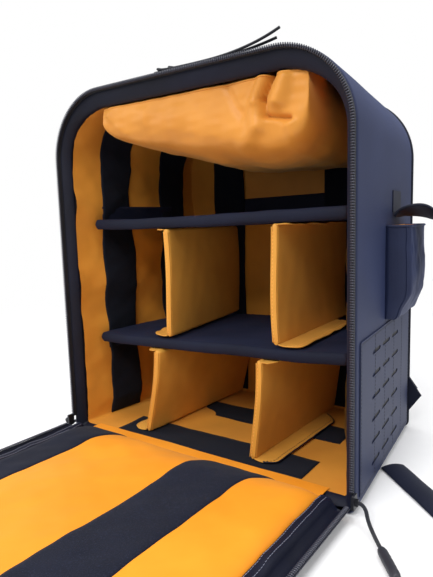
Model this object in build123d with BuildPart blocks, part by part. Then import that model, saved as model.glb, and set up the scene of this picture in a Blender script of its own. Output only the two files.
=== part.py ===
from build123d import *

import math
import os

# Backpack-style soft carrying case for a camera drone, standing open.
# Frame: +X to the right of someone facing the open front, +Y towards the back panel, +Z up.
# The origin is the centre of the base, on the ground. All sizes are millimetres.
# The case is a foam-walled tub with an arched top. Its door is hinged along the foot of the
# opening and lies open on the ground in front. Two shelves and four dividers sit inside.

# ---------------------------------------------------------------- driving dimensions
# The case
case_width = 432.0  # across the zipper edge, at the front
case_depth = 272.0  # front edge to the back skin
case_height = 480.0
side_taper = 22.0  # each side comes in this much towards the back
top_drop = 10.0  # the top falls this much towards the back
top_corner = 88.0  # outer radius of the two top corners
base_corner = 10.0  # outer radius of the two bottom corners
rim_width = 12.5  # padded edge round the opening, which is also the wall at the front
rim_depth = 12.0
side_wall_back = 12.0  # side and top wall where they meet the back
floor_wall = 12.0
back_wall = 13.2
inner_corner = 3.0  # where the inside walls meet the floor
skin_ply = 1.6  # coated fabric
lining_ply = 1.0
sheet_ply = 1.5  # stiffener behind the back foam
ply_gap = 0.1  # between layers that are sewn or glued face to face
fit_gap = 0.6  # between pieces that lift or slide out

# Loop strips
strip_ply = 1.4
wall_strip_width = 56.0
wall_strip_start = (57.0, 177.0)  # from the front edge, one value for each strip
wall_strip_margin = 55.0  # top of the case down to the head of the wall and back strips
wall_strip_top = case_height - wall_strip_margin
back_strip_width = 57.0
back_strip_x = 99.5
floor_strip_length = 290.0
floor_strip_width = 52.0
floor_strip_start = (20.0, 132.0)

# Shelves and dividers
shelf_ply = 14.0
shelf_setback = 35.0  # from the front edge
top_room = 165.0  # top of the case down to the upper shelf
upper_shelf_z = case_height - top_room  # underside of the board at the centre is shelf_ply lower
lower_shelf_z = 153.0
upper_shelf_tilt = 1.0  # degrees, right end higher
lower_shelf_tilt = 2.0
shelf_end_gap = 3.0
tab_ply = 2.0
tab_height = 30.0
tab_depth = 150.0
divider_ply = 9.0
flange_width = 25.0
flange_ply = 2.0
# name: x at the foot's front end, x at the foot's back end, shift of the head, side its feet turn to
upper_dividers = {"upper_left": (-56.0, -88.0, 0.0, -1), "upper_right": (106.0, 103.0, 0.0, 1)}
lower_dividers = {"lower_left": (-97.0, -84.0, 22.0, -1), "lower_right": (74.0, 84.0, 12.0, 1)}

# Hanging pouch under the top
pouch_left = -132.0
pouch_right = 158.0
pouch_depth = 236.0
pouch_drop = 82.0
pouch_round = 30.0
pouch_ply = 2.0

# Main zipper and door
bead_width = 5.0  # across the zipper's teeth
bead_depth = 2.9  # one half of the teeth, front to back
zip_gap = 0.1
zip_tape = 3.8  # tape that shows between skin and teeth
tape_inset = (1.0, 4.0)
zip_foot = 28.0  # height where the teeth end on each side
hinge_height = 20.0
hinge_radius = 2.6
door_flare = 18.0  # the door's panel is this much smaller all round than the zipper edge
door_near = 7.0  # from the hinge axis to the door's near edge
door_panel_ply = 2.0
door_foam_top = 12.0
door_border_top = 25.0
door_border_inset = (8.0, 23.5)
door_pad_inset = 24.0
door_pad_top = 32.0
door_gusset_ply = 1.6
door_gusset_top = 15.4
door_gusset_near = 8.0
door_zip_near = 10.0
door_strips = ((-152.0, 53.0), (70.0, 74.0))  # centre and width of each loop strip

# Sliders and pulls
slider_length = 16.0
slider_plate = 2.2
slider_gap = 0.35
slider_lip = 1.6
slider_z = 20.0
lug_size = (3.0, 3.2, 7.0)  # out from the plate, across, along
pull_cord = 4.0
pull_grip = 9.5
pull_grip_length = 40.0
pull_route_right = ((7.0, 0.0, 20.0), (14.0, -10.0, 5.2), (36.0, -40.0, 5.2))  # from the lug, then height
pull_route_left = ((8.0, 0.0, 20.0), (13.0, 10.0, 5.2), (20.0, 48.0, 5.2))

# Top compartment's zipper
top_zip_length = 250.0
top_zip_start = 14.0  # from the front edge
top_zip_width = 16.0
top_zip_tape = 1.0
top_bead_width = 5.0
top_bead_height = 2.6
top_slit = 6.0
top_slider_length = 14.0
top_slider_x = (-34.0, -18.0)
top_cord = 3.0
top_cord_lane = (3.4, 7.0)  # front lip to each cord
top_cord_run = (96.0, 92.0)
top_cord_tail = ((37.0, 1.5, 15.0), (34.0, 4.0, 8.0))  # along, back and up

# Side panels and pockets
molle_start = 12.0
molle_length = 243.0
molle_foot = 14.0
molle_top = 180.0
molle_ply = 1.4
slot_length = 34.0
slot_height = 4.5
slot_rows = 6
slot_columns = 3
slot_pitch_z = 25.4
slot_pitch_y = 46.0
slot_first_y = 76.0
slot_first_z = 32.0
pocket_start = 118.0
pocket_length = 104.0
pocket_foot = 186.0
pocket_top = 294.0
pocket_stand = 26.0
pocket_chamfer = (10.0, 26.0)  # out and up, along its lower edge
pocket_ply = 2.4
flap_start = 148.0
flap_width = 42.0
flap_ply = 3.0
flap_hinge_z = 306.0
flap_hinge_out = 2.8
flap_reach = 50.0
flap_end_z = 228.0
flap_bend = 14.0
flap_sag = 4.0
tab_patch_ply = 1.6
flap_patch = (42.0, 26.0)  # width and height of the sewn root

# Back panel and harness
pad_ply = 13.0
pad_width = 112.0
pad_x = 74.0
pad_foot = 150.0
pad_head_margin = 98.0  # top of the case down to the head of the back pads
pad_head = case_height - pad_head_margin
lumbar_width = 244.0
lumbar_foot = 46.0
lumbar_head = 138.0
pad_corner = 18.0
stay_width = 25.0
stay_ply = 3.0
stay_x = 62.0
stay_margin = 40.0  # clear of the case at each end
stay_length = case_height - 2 * stay_margin
yoke_width = 200.0
yoke_margin = 68.0  # top of the case down to the yoke
yoke_height = 24.0
yoke_head = case_height - yoke_margin
yoke_foot = yoke_head - yoke_height
strap_width = 62.0
strap_foot_width = 44.0
strap_ply = 12.0
strap_head_margin = 82.0  # top of the case down to the shoulder straps' roots
strap_head = (62.0, case_height - strap_head_margin)
strap_knee = (72.0, 290.0)
strap_foot = (112.0, 176.0)
strap_gap = 2.0
web_width = 25.0
web_ply = 2.0
web_anchor = (196.0, 50.0)
anchor_reach = 18.0
anchor_height = 52.0
anchor_ply = 3.0
lock_width = 36.0
lock_height = 24.0
lock_ply = 7.0
handle_span = 116.0
handle_margin = 30.0  # top of the case down to the handle's hinge
handle_z = case_height - handle_margin
handle_drop = 32.0
handle_width = 20.0
handle_ply = 4.0
handle_stand = 4.6  # hinge line to the back skin
handle_patch = (26.0, 14.0)
base_strap_width = 30.0
base_strap_ply = 2.0
base_strap_inset = 11.5  # strap's root in from the case's widest line
base_strap_start = (case_width / 2 - base_strap_inset, 138.0)  # across, and from the front edge
base_strap_run = (106.0, -106.0)
base_strap_run_left = (90.0, 84.0)
buckle_length = 34.0
buckle_ply = 8.0

# ---------------------------------------------------------------- values worked out from them
front_y = -case_depth / 2
back_y = case_depth / 2
rim_back_y = front_y + rim_depth
inner_back_y = back_y - back_wall
zip_y = front_y - zip_gap - zip_tape - bead_depth - zip_gap  # plane where the two halves meet
tape_front_y = front_y - zip_gap - zip_tape
door_length = case_height - hinge_height


# ---------------------------------------------------------------- helpers
def share(y):
    """How far back a depth is, from 0 at the front edge to 1 at the back."""
    return (y - front_y) / case_depth


def half_width(y):
    """Half the outer width at a depth."""
    return case_width / 2 - side_taper * share(y)


def wall(y):
    """Thickness of the side and top walls at a depth."""
    return rim_width + (side_wall_back - rim_width) * share(y)


def outline(y, inset, floor):
    """The case's outline at a depth, drawn in by inset, with its foot at height floor."""
    top = case_height - top_drop * share(y) - inset
    with BuildSketch(Plane.XZ.offset(-y), mode=Mode.PRIVATE) as face:
        with Locations((0, (top + floor) / 2)):
            Rectangle(2 * (half_width(y) - inset), top - floor)
        fillet(face.vertices().group_by(Axis.Y)[-1], top_corner - inset)
        foot = base_corner - inset if inset < foam_outer + ply_gap else inner_corner
        fillet(face.vertices().group_by(Axis.Y)[0], foot)
    return face.sketch


def case_block(start, end, inset, floor, mode=Mode.ADD):
    """A solid between the outlines at two depths; inset is a number or a function of depth."""
    drawn_in = inset if callable(inset) else lambda y: inset
    ends = [outline(y, drawn_in(y), floor) for y in (start, end)]
    loft(ends, ruled=True, mode=mode)


def keep_box(low, high):
    """Keeps only what lies in a box, given by its lowest and highest corner."""
    middle = [(a + b) / 2 for a, b in zip(low, high)]
    with Locations(tuple(middle)):
        Box(*[b - a for a, b in zip(low, high)], mode=Mode.INTERSECT)


def block(low, high, mode=Mode.ADD):
    """A box given by its lowest and highest corner."""
    middle = [(a + b) / 2 for a, b in zip(low, high)]
    with Locations(tuple(middle)):
        Box(*[b - a for a, b in zip(low, high)], mode=mode)


def mirrored(part):
    """The same piece on the other side of the case."""
    with BuildPart() as other:
        mirror(part, about=Plane.YZ)
    return other.part


def side_plane():
    """Plane of the right side's skin: local x runs back, y up and z outwards."""
    along = Vector(-side_taper, case_depth, 0).normalized()
    return Plane(
        origin=(case_width / 2, front_y, 0),
        x_dir=along,
        z_dir=Vector(along.Y, -along.X, 0),
    )


def corner_radii(points):
    """Arc radius at each inner point of a route: 0.45 of the shorter run over tan(half the turn)."""
    radii = []
    for before, at, after in zip(points, points[1:], points[2:]):
        into, out = Vector(*at) - Vector(*before), Vector(*after) - Vector(*at)
        turn = math.radians(into.get_angle(out))
        radii.append(0.45 * min(into.length, out.length) / math.tan(turn / 2))
    return radii


def cord_tube(points, diameter):
    """A round cord along straight runs joined by tangent arcs."""
    radii = corner_radii(points)
    print("cord radii", [round(r, 1) for r in radii])
    with BuildPart() as tube:
        with BuildLine() as route:
            FilletPolyline(*points, radius=radii)
        with BuildSketch(Plane(origin=points[0], z_dir=route.line % 0)):
            Circle(diameter / 2)
        sweep(path=route.line)
    return tube.part


# ---------------------------------------------------------------- the tub's walls
foam_outer = skin_ply + ply_gap
foam_floor = floor_wall - lining_ply - ply_gap
top_foam_z = case_height - top_corner
everywhere = 2000.0


def lining_outer(y):
    """Inset of the lining's outer face."""
    return wall(y) - lining_ply


def foam_inner(y):
    """Inset of the wall foam's inner face."""
    return lining_outer(y) - ply_gap


def cut_top_slit():
    """The slit under the top zipper."""
    y = front_y + top_zip_start
    half = top_zip_length / 2 - top_zip_width / 2
    low = (-half, y - top_slit / 2, case_height - 2 * rim_width)
    block(low, (half, y + top_slit / 2, case_height + 1), Mode.SUBTRACT)


def skin_ring():
    """The outer skin all round, before it is cut into gusset and base."""
    case_block(front_y, back_y, 0, -skin_ply)
    case_block(front_y, back_y, skin_ply, skin_ply, mode=Mode.SUBTRACT)
    keep_box((-everywhere, -everywhere, 0), (everywhere, everywhere, everywhere))


def foam_ring():
    """The wall foam all round, before it is cut into its panels."""
    start, end = rim_back_y + ply_gap, inner_back_y - ply_gap
    case_block(start, end, foam_outer, foam_outer)
    case_block(start, end, foam_inner, foam_floor, mode=Mode.SUBTRACT)


def lining_ring():
    """The lining all round, before it is cut into arch and floor."""
    start, end = rim_back_y + ply_gap, inner_back_y - ply_gap
    case_block(start, end, lining_outer, floor_wall - lining_ply)
    case_block(start, end, wall, floor_wall, mode=Mode.SUBTRACT)


def make_walls():
    """Skin, foam and lining of the sides, top and base."""
    seam_z = foam_floor
    with BuildPart() as base_panel:
        skin_ring()
        keep_box((-everywhere, -everywhere, 0), (everywhere, everywhere, seam_z))
    with BuildPart() as gusset_skin:
        skin_ring()
        keep_box((-everywhere, -everywhere, seam_z + ply_gap), (everywhere, everywhere, everywhere))
        cut_top_slit()
    with BuildPart() as foam_base:
        foam_ring()
        keep_box((-everywhere, -everywhere, 0), (everywhere, everywhere, seam_z))
    with BuildPart() as foam_right:
        foam_ring()
        keep_box((0, -everywhere, seam_z + ply_gap), (everywhere, everywhere, top_foam_z - top_drop))
    with BuildPart() as foam_top:
        foam_ring()
        low = (-everywhere, -everywhere, top_foam_z - top_drop + ply_gap)
        keep_box(low, (everywhere, everywhere, everywhere))
        cut_top_slit()
    with BuildPart() as lining:
        lining_ring()
        cut_top_slit()
    return {
        "base_panel": base_panel.part,
        "gusset_skin": gusset_skin.part,
        "foam_base": foam_base.part,
        "foam_right": foam_right.part,
        "foam_left": mirrored(foam_right.part),
        "foam_top": foam_top.part,
        "lining": lining.part,
    }


def make_rim():
    """The padded edge round the opening."""
    with BuildPart() as rim_frame:
        case_block(front_y, rim_back_y, foam_outer, foam_outer)
        case_block(front_y, rim_back_y, wall, floor_wall, mode=Mode.SUBTRACT)
    return {"rim_frame": rim_frame.part}


def make_back():
    """The back panel's layers, from the outside in, with two flat stays in the foam."""
    skin_front = back_y - skin_ply
    sheet_back = skin_front - ply_gap
    sheet_front = sheet_back - sheet_ply
    foam_back_y = sheet_front - ply_gap
    foam_front_y = inner_back_y + lining_ply + ply_gap
    stay_front = foam_back_y - stay_ply
    stay_foot = (case_height - stay_length) / 2
    with BuildPart() as back_skin:
        case_block(skin_front, back_y, foam_outer, foam_outer)
    with BuildPart() as frame_sheet:
        case_block(sheet_front, sheet_back, base_corner, base_corner)
    with BuildPart() as foam_back:
        case_block(foam_front_y, foam_back_y, foam_outer, foam_outer)
        for x in (-stay_x, stay_x):
            half = stay_width / 2 + ply_gap
            low = (x - half, stay_front - ply_gap, stay_foot - ply_gap)
            block(low, (x + half, foam_back_y + 1, stay_foot + stay_length + ply_gap), Mode.SUBTRACT)
    with BuildPart() as frame_stays:
        for x in (-stay_x, stay_x):
            low = (x - stay_width / 2, stay_front, stay_foot)
            block(low, (x + stay_width / 2, foam_back_y, stay_foot + stay_length))
    with BuildPart() as lining_back:
        case_block(inner_back_y, inner_back_y + lining_ply, foam_outer, foam_outer)
    return {
        "back_skin": back_skin.part,
        "frame_sheet": frame_sheet.part,
        "foam_back": foam_back.part,
        "frame_stays": frame_stays.part,
        "lining_back": lining_back.part,
    }


# ---------------------------------------------------------------- loop strips
def make_strips():
    """Loop strips on the walls, the back and the floor."""
    strip_foot = floor_wall + strip_ply + 2 * ply_gap

    def outer(y):
        return wall(y) + ply_gap

    def inner(y):
        return outer(y) + strip_ply

    with BuildPart() as wall_strips:
        for start in wall_strip_start:
            y0 = front_y + start
            y1 = y0 + wall_strip_width
            case_block(y0, y1, outer, floor_wall)
            case_block(y0, y1, inner, floor_wall - 1, mode=Mode.SUBTRACT)
        keep_box((0, front_y, floor_wall + base_corner), (everywhere, back_y, wall_strip_top))
    with BuildPart() as loop_strips:
        add(wall_strips.part)
        add(mirrored(wall_strips.part))
        for x in (-back_strip_x, back_strip_x):
            low = (x - back_strip_width / 2, inner_back_y - ply_gap - strip_ply, strip_foot)
            block(low, (x + back_strip_width / 2, inner_back_y - ply_gap, wall_strip_top))
        for start in floor_strip_start:
            y0 = front_y + start
            low = (-floor_strip_length / 2, y0, floor_wall + ply_gap)
            high = (floor_strip_length / 2, y0 + floor_strip_width, floor_wall + ply_gap + strip_ply)
            block(low, high)
    return {"loop_strips": loop_strips.part}


# ---------------------------------------------------------------- shelves and dividers
def shelf_plane(z, tilt):
    """Plane of a shelf's top face, turned about the depth axis so its right end is higher."""
    turn = math.radians(tilt)
    return Plane(
        origin=(0, 0, z),
        x_dir=(math.cos(turn), 0, math.sin(turn)),
        z_dir=(-math.sin(turn), 0, math.cos(turn)),
    )


def shelf_half(y):
    """Half the board's width at a depth, clear of strips and tabs."""
    return half_width(y) - wall(y) - ply_gap - strip_ply - tab_ply - shelf_end_gap


def make_shelf(z, tilt, tab_side, back_tab):
    """A padded board with hook tabs at its ends that fold up (1) or down (-1), and one at its back."""
    y0 = front_y + shelf_setback
    y1 = inner_back_y - ply_gap - strip_ply - tab_ply - fit_gap
    plane = shelf_plane(z, tilt)
    tab_y0 = y0 + 20
    tab_y1 = tab_y0 + tab_depth
    foot = -shelf_ply if tab_side > 0 else -tab_height
    head = tab_height - shelf_ply if tab_side > 0 else -3.0
    with BuildPart() as board:
        with BuildSketch(plane):
            with BuildLine():
                Polyline(
                    (-shelf_half(y0), y0),
                    (shelf_half(y0), y0),
                    (shelf_half(y1), y1),
                    (-shelf_half(y1), y1),
                    close=True,
                )
            make_face()
        extrude(amount=-shelf_ply)
        fillet(board.edges().filter_by(Axis((0, 0, 0), plane.z_dir)), 10)
        fillet(board.faces().sort_by(Axis.Z)[-1].edges(), 3)
        for side in (-1, 1):
            with BuildSketch(plane.offset(foot)):
                with BuildLine():
                    near, far = shelf_half(tab_y0), shelf_half(tab_y1)
                    Polyline(
                        (side * (near - 1), tab_y0),
                        (side * (near + tab_ply), tab_y0),
                        (side * (far + tab_ply), tab_y1),
                        (side * (far - 1), tab_y1),
                        close=True,
                    )
                make_face()
            extrude(amount=head - foot)
        if back_tab:
            with BuildSketch(plane.offset(-shelf_ply)):
                with Locations((0, y1 + (tab_ply - 1) / 2)):
                    Rectangle(2 * (back_strip_x + back_strip_width / 2), tab_ply + 1)
            extrude(amount=tab_height)
    return board.part


def shelf_under(z, tilt, x):
    """Height of a shelf's underside over a place across the case."""
    turn = math.radians(tilt)
    return z + x * math.tan(turn) - shelf_ply / math.cos(turn)


def shelf_over(z, tilt, x):
    """Height of a shelf's top over a place across the case."""
    return z + x * math.tan(math.radians(tilt))


def make_divider(spec, foot_at, head_at, front_gap):
    """A padded upright board with a hook flange along its foot and its head."""
    x_front, x_back, lean, side = spec
    y0 = front_y + shelf_setback + front_gap
    y1 = inner_back_y - ply_gap - strip_ply - fit_gap - 2
    reach = side * (divider_ply / 2 + flange_width)
    xs = [x + d for x in (x_front, x_back) for d in (-divider_ply, divider_ply, reach)]
    foot = max(foot_at(x) for x in xs) + fit_gap
    head = min(head_at(x + lean) for x in xs) - fit_gap
    rise = head - foot
    lift = Vector(lean, 0, rise)

    def strip(near, far, length):
        """Sketch corners of a band beside the board's centre line, over part of its length."""
        end = y0 + (y1 - y0) * length
        x_end = x_front + (x_back - x_front) * length
        return (
            (x_front + near, y0),
            (x_front + far, y0),
            (x_end + far, end),
            (x_end + near, end),
        )

    half = divider_ply / 2
    with BuildPart() as divider:
        with BuildSketch(Plane.XY.offset(foot)):
            with BuildLine():
                Polyline(*strip(-half, half, 1.0), close=True)
            make_face()
        extrude(amount=lift.length, dir=lift)
        with BuildSketch(Plane.XY.offset(foot)):
            with BuildLine():
                Polyline(*strip(side * (half - 1), side * (half + flange_width), 0.82), close=True)
            make_face()
        extrude(amount=flange_ply)
        with BuildSketch(Plane.XY.offset(head)):
            with BuildLine():
                near, far = side * (half - 1) + lean, side * (half + flange_width / 2) + lean
                Polyline(*strip(near, far, 0.82), close=True)
            make_face()
        extrude(amount=-flange_ply)
    return divider.part


def make_inside():
    """The two shelves and the four dividers."""
    made = {
        "upper_shelf": make_shelf(upper_shelf_z, upper_shelf_tilt, 1, True),
        "lower_shelf": make_shelf(lower_shelf_z, lower_shelf_tilt, -1, False),
    }
    for name, spec in upper_dividers.items():
        made["divider_" + name] = make_divider(
            spec,
            lambda x: shelf_over(lower_shelf_z, lower_shelf_tilt, x),
            lambda x: shelf_under(upper_shelf_z, upper_shelf_tilt, x),
            0.0,
        )
    for name, spec in lower_dividers.items():
        made["divider_" + name] = make_divider(
            spec,
            lambda x: floor_wall + 2 * ply_gap + strip_ply,
            lambda x: shelf_under(lower_shelf_z, lower_shelf_tilt, x),
            -6.0,
        )
    return made


def make_pouch():
    """The top compartment's floor: a soft trough that hangs inside the arch, open upwards."""
    y0 = rim_back_y + 2
    y1 = y0 + pouch_depth - 4
    top = case_height - wall(front_y) - top_drop - 2 * ply_gap
    foot = top - pouch_drop
    inner_low = (pouch_left + pouch_ply, y0 + pouch_ply, foot + pouch_ply)
    with BuildPart() as hollow:
        block(inner_low, (pouch_right - pouch_ply, y1 - pouch_ply, top + 1))
        fillet(hollow.edges().group_by(Axis.Z)[0], pouch_round - pouch_ply)
    with BuildPart() as pouch:
        block((pouch_left, y0, foot), (pouch_right, y1, top))
        fillet(pouch.edges().group_by(Axis.Z)[0], pouch_round)
        add(hollow.part, mode=Mode.SUBTRACT)
        case_block(front_y, back_y, lambda y: wall(y) + 2 * ply_gap, floor_wall, mode=Mode.INTERSECT)
    return {"top_pouch": pouch.part}


# ---------------------------------------------------------------- main zipper and door
def arch_ring(y0, y1, outer, inner, foot):
    """A ring of constant section along the opening's sides and top, above a height."""
    whole, hole = outline_at_front(outer), outline_at_front(inner)
    with BuildSketch(Plane.XZ.offset(-y1)) as ring:
        add(whole)
        add(hole, mode=Mode.SUBTRACT)
    extrude(ring.sketch, amount=y1 - y0)
    keep_box((-everywhere, -everywhere, foot), (everywhere, everywhere, everywhere))


def outline_at_front(inset):
    """The front outline drawn in by inset, lying in the XY plane as x and height."""
    with BuildSketch(Plane.XY, mode=Mode.PRIVATE) as face:
        with Locations((0, case_height / 2)):
            Rectangle(case_width - 2 * inset, case_height - 2 * inset)
        fillet(face.vertices().group_by(Axis.Y)[-1], top_corner - inset)
    return face.sketch


def make_case_zip():
    """The case's half of the main zipper: tape and teeth."""
    with BuildPart() as tape:
        arch_ring(tape_front_y, front_y - zip_gap, tape_inset[0], tape_inset[1], zip_foot)
    with BuildPart() as teeth:
        arch_ring(zip_y + zip_gap, tape_front_y, 0, bead_width, zip_foot)
    with BuildPart() as case_zip:
        add(tape.part)
        add(teeth.part)
    return {"case_zip": case_zip.part}


def door_outline(inset, near):
    """The door's outline as it lies open, drawn in by inset, from a distance off the hinge axis."""
    far = door_length - inset
    with BuildSketch(Plane.XY, mode=Mode.PRIVATE) as face:
        with Locations((0, zip_y - (near + far) / 2)):
            Rectangle(case_width - 2 * inset, far - near)
        fillet(face.vertices().group_by(Axis.Y)[0], top_corner - inset)
    return face.sketch


def door_plate(inset, near, z0, z1, mode=Mode.ADD):
    """A flat layer of the door."""
    whole = door_outline(inset, near)
    extrude(Pos(0, 0, z0) * whole, amount=z1 - z0, mode=mode)


def door_ring(outer, inner, near, z0, z1):
    """A three-sided flat ring round the door, open at the hinge."""
    whole, hole = door_outline(outer, near), door_outline(inner, near - 1)
    with BuildSketch(Plane.XY.offset(z0)) as ring:
        add(whole)
        add(hole, mode=Mode.SUBTRACT)
    extrude(ring.sketch, amount=z1 - z0)


def make_door():
    """The door as it lies open: panel, foam, border, pad, gusset, zipper half and loop strips."""
    with BuildPart() as panel:
        door_plate(door_flare, door_near, 0, door_panel_ply)
    with BuildPart() as foam:
        door_plate(door_flare + 2, door_near, door_panel_ply + ply_gap, door_foam_top)
    with BuildPart() as border:
        z0 = door_foam_top + ply_gap
        door_ring(door_border_inset[0], door_border_inset[1], door_near, z0, door_border_top)
        fillet(border.faces().sort_by(Axis.Z)[-1].outer_wire().edges(), 2)
    with BuildPart() as pad:
        door_plate(door_pad_inset, door_near, door_foam_top + ply_gap, door_pad_top)
        fillet(pad.faces().sort_by(Axis.Z)[-1].edges(), 7)
    slope = ((door_flare, door_panel_ply + ply_gap), (tape_inset[0], door_gusset_top))
    outside = [Pos(0, 0, z) * door_outline(inset, 0) for inset, z in slope]
    inside = [Pos(0, 0, z) * door_outline(inset + door_gusset_ply, -1) for inset, z in slope]
    with BuildPart() as gusset:
        loft(outside, ruled=True)
        loft(inside, ruled=True, mode=Mode.SUBTRACT)
        keep_box((-everywhere, -everywhere, 0), (everywhere, zip_y - door_gusset_near, everywhere))
    with BuildPart() as zip_half:
        tape_z = door_gusset_top + ply_gap
        teeth_z = hinge_height - zip_gap - bead_depth
        door_ring(tape_inset[0], tape_inset[1], door_zip_near, tape_z, teeth_z)
        door_ring(0, bead_width, door_zip_near, teeth_z, teeth_z + bead_depth)
    with BuildPart() as strips:
        for x, width in door_strips:
            low = (x - width / 2, zip_y - door_length + door_pad_inset + 12, door_pad_top + ply_gap)
            high = (x + width / 2, zip_y - door_near - 10, door_pad_top + ply_gap + strip_ply)
            block(low, high)
    with BuildPart() as hinge_tape:
        with BuildSketch(Plane.YZ.offset(-case_width / 2 + 34)):
            with Locations((zip_y, hinge_height)):
                Circle(hinge_radius)
            with BuildLine():
                Polyline(
                    (zip_y, hinge_height - hinge_radius),
                    (zip_y, hinge_height),
                    (front_y - ply_gap, floor_wall),
                    (front_y - ply_gap, floor_wall - 2 * hinge_radius),
                    close=True,
                )
            make_face()
        extrude(amount=case_width - 68)
    return {
        "door_panel": panel.part,
        "door_foam": foam.part,
        "door_border": border.part,
        "door_pad": pad.part,
        "door_gusset": gusset.part,
        "door_zip": zip_half.part,
        "door_strips": strips.part,
        "hinge_tape": hinge_tape.part,
    }


# ---------------------------------------------------------------- sliders and pulls
def make_main_slider(side):
    """A slider on the main zipper, its pull cord and the grip on the cord's end."""
    x0 = case_width / 2 + slider_gap
    half_teeth = bead_depth + zip_gap + slider_gap
    z0, z1 = slider_z - slider_length / 2, slider_z + slider_length / 2
    lug_out, lug_across, lug_along = lug_size
    with BuildPart() as slider:
        half = half_teeth + slider_lip
        block((x0, zip_y - half, z0), (x0 + slider_plate, zip_y + half, z1))
        fillet(slider.edges().filter_by(Axis.X), 1.2)
        for way in (-1, 1):
            near, far = sorted((zip_y + way * half_teeth, zip_y + way * half))
            block((x0 - slider_gap - 0.6, near, z0 + 1.2), (x0, far, z1 - 1.2))
        lug_low = (x0 + slider_plate, zip_y - lug_across / 2, slider_z - lug_along / 2)
        lug_high = (x0 + slider_plate + lug_out, zip_y + lug_across / 2, slider_z + lug_along / 2)
        block(lug_low, lug_high)
    start = Vector(x0 + slider_plate + lug_out + ply_gap, zip_y, slider_z)
    route = [(start.X, start.Y, start.Z)]
    for out, along, z in pull_route_right if side > 0 else pull_route_left:
        route.append((start.X + out, start.Y + along, z))
    cord = cord_tube(route, pull_cord)
    last = Vector(*route[-1])
    way = (last - Vector(*route[-2])).normalized()
    with BuildPart() as grip:
        with BuildSketch(Plane(origin=last + way * ply_gap, z_dir=way)):
            Circle(pull_grip / 2)
        extrude(amount=pull_grip_length)
        fillet(grip.edges(), 1.5)
    parts = {"slider": slider.part, "pull_cord": cord, "pull_grip": grip.part}
    name = "right" if side > 0 else "left"
    return {f"{key}_{name}": piece if side > 0 else mirrored(piece) for key, piece in parts.items()}


def top_plane():
    """Plane of the top skin at the top zipper: local x runs right, y back and z upwards."""
    slope = top_drop / case_depth
    y = front_y + top_zip_start
    z = case_height - top_drop * share(y)
    return Plane(origin=(0, y, z), x_dir=(1, 0, 0), z_dir=Vector(0, slope, 1).normalized())


def make_top_zip():
    """The closed zipper on top, with two sliders and their cords."""
    plane = top_plane()
    with BuildPart() as top_zip:
        with BuildSketch(plane.offset(ply_gap)):
            Rectangle(top_zip_length, top_zip_width)
        extrude(amount=top_zip_tape)
        with BuildSketch(plane.offset(ply_gap + top_zip_tape)):
            Rectangle(top_zip_length, top_bead_width)
        extrude(amount=top_bead_height)
    made = {"top_zip": top_zip.part}
    head = ply_gap + top_zip_tape + top_bead_height + slider_gap
    lane_half = top_bead_width / 2 + slider_gap
    lug_out, lug_across, lug_along = lug_size
    names = ("left", "right")
    for name, x, lane, run, tail in zip(names, top_slider_x, top_cord_lane, top_cord_run, top_cord_tail):
        with BuildPart() as slider:
            with BuildSketch(plane.offset(head)):
                with Locations((x, 0)):
                    Rectangle(top_slider_length, 2 * (lane_half + slider_lip))
            extrude(amount=slider_plate)
            with BuildSketch(plane.offset(ply_gap + top_zip_tape + slider_gap)):
                for way in (-1, 1):
                    with Locations((x, way * (lane_half + slider_lip / 2))):
                        Rectangle(top_slider_length, slider_lip)
            extrude(amount=top_bead_height)
            with BuildSketch(plane.offset(head + slider_plate)):
                with Locations((x, 0)):
                    Rectangle(lug_along, lug_across)
            extrude(amount=lug_out)
        lug_y = plane.origin.Y - lug_across / 2
        lug_z = plane.origin.Z + head + slider_plate + lug_out / 2 + 2 * ply_gap
        lane_y = front_y + lane
        lane_z = case_height + top_cord / 2 + top_zip_tape
        route = [
            (x, lug_y - ply_gap, lug_z),
            (x, min(lane_y + 1, lug_y - 5), lug_z),
            (x + 16, lane_y, lane_z),
            (run, lane_y, lane_z),
            (run + tail[0], lane_y + tail[1], lane_z + tail[2]),
        ]
        made["top_slider_" + name] = slider.part
        made["top_cord_" + name] = cord_tube(route, top_cord)
    return made


# ---------------------------------------------------------------- sides
def across_side(start):
    """Plane square to the right side at a distance from the front: local x runs out, y up."""
    side = side_plane()
    return Plane(origin=side.from_local_coords((start, 0, 0)), x_dir=side.z_dir, z_dir=-side.x_dir)


def both_sides(name, part):
    """The same piece on the right and on the left."""
    return {name + "_right": part, name + "_left": mirrored(part)}


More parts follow.
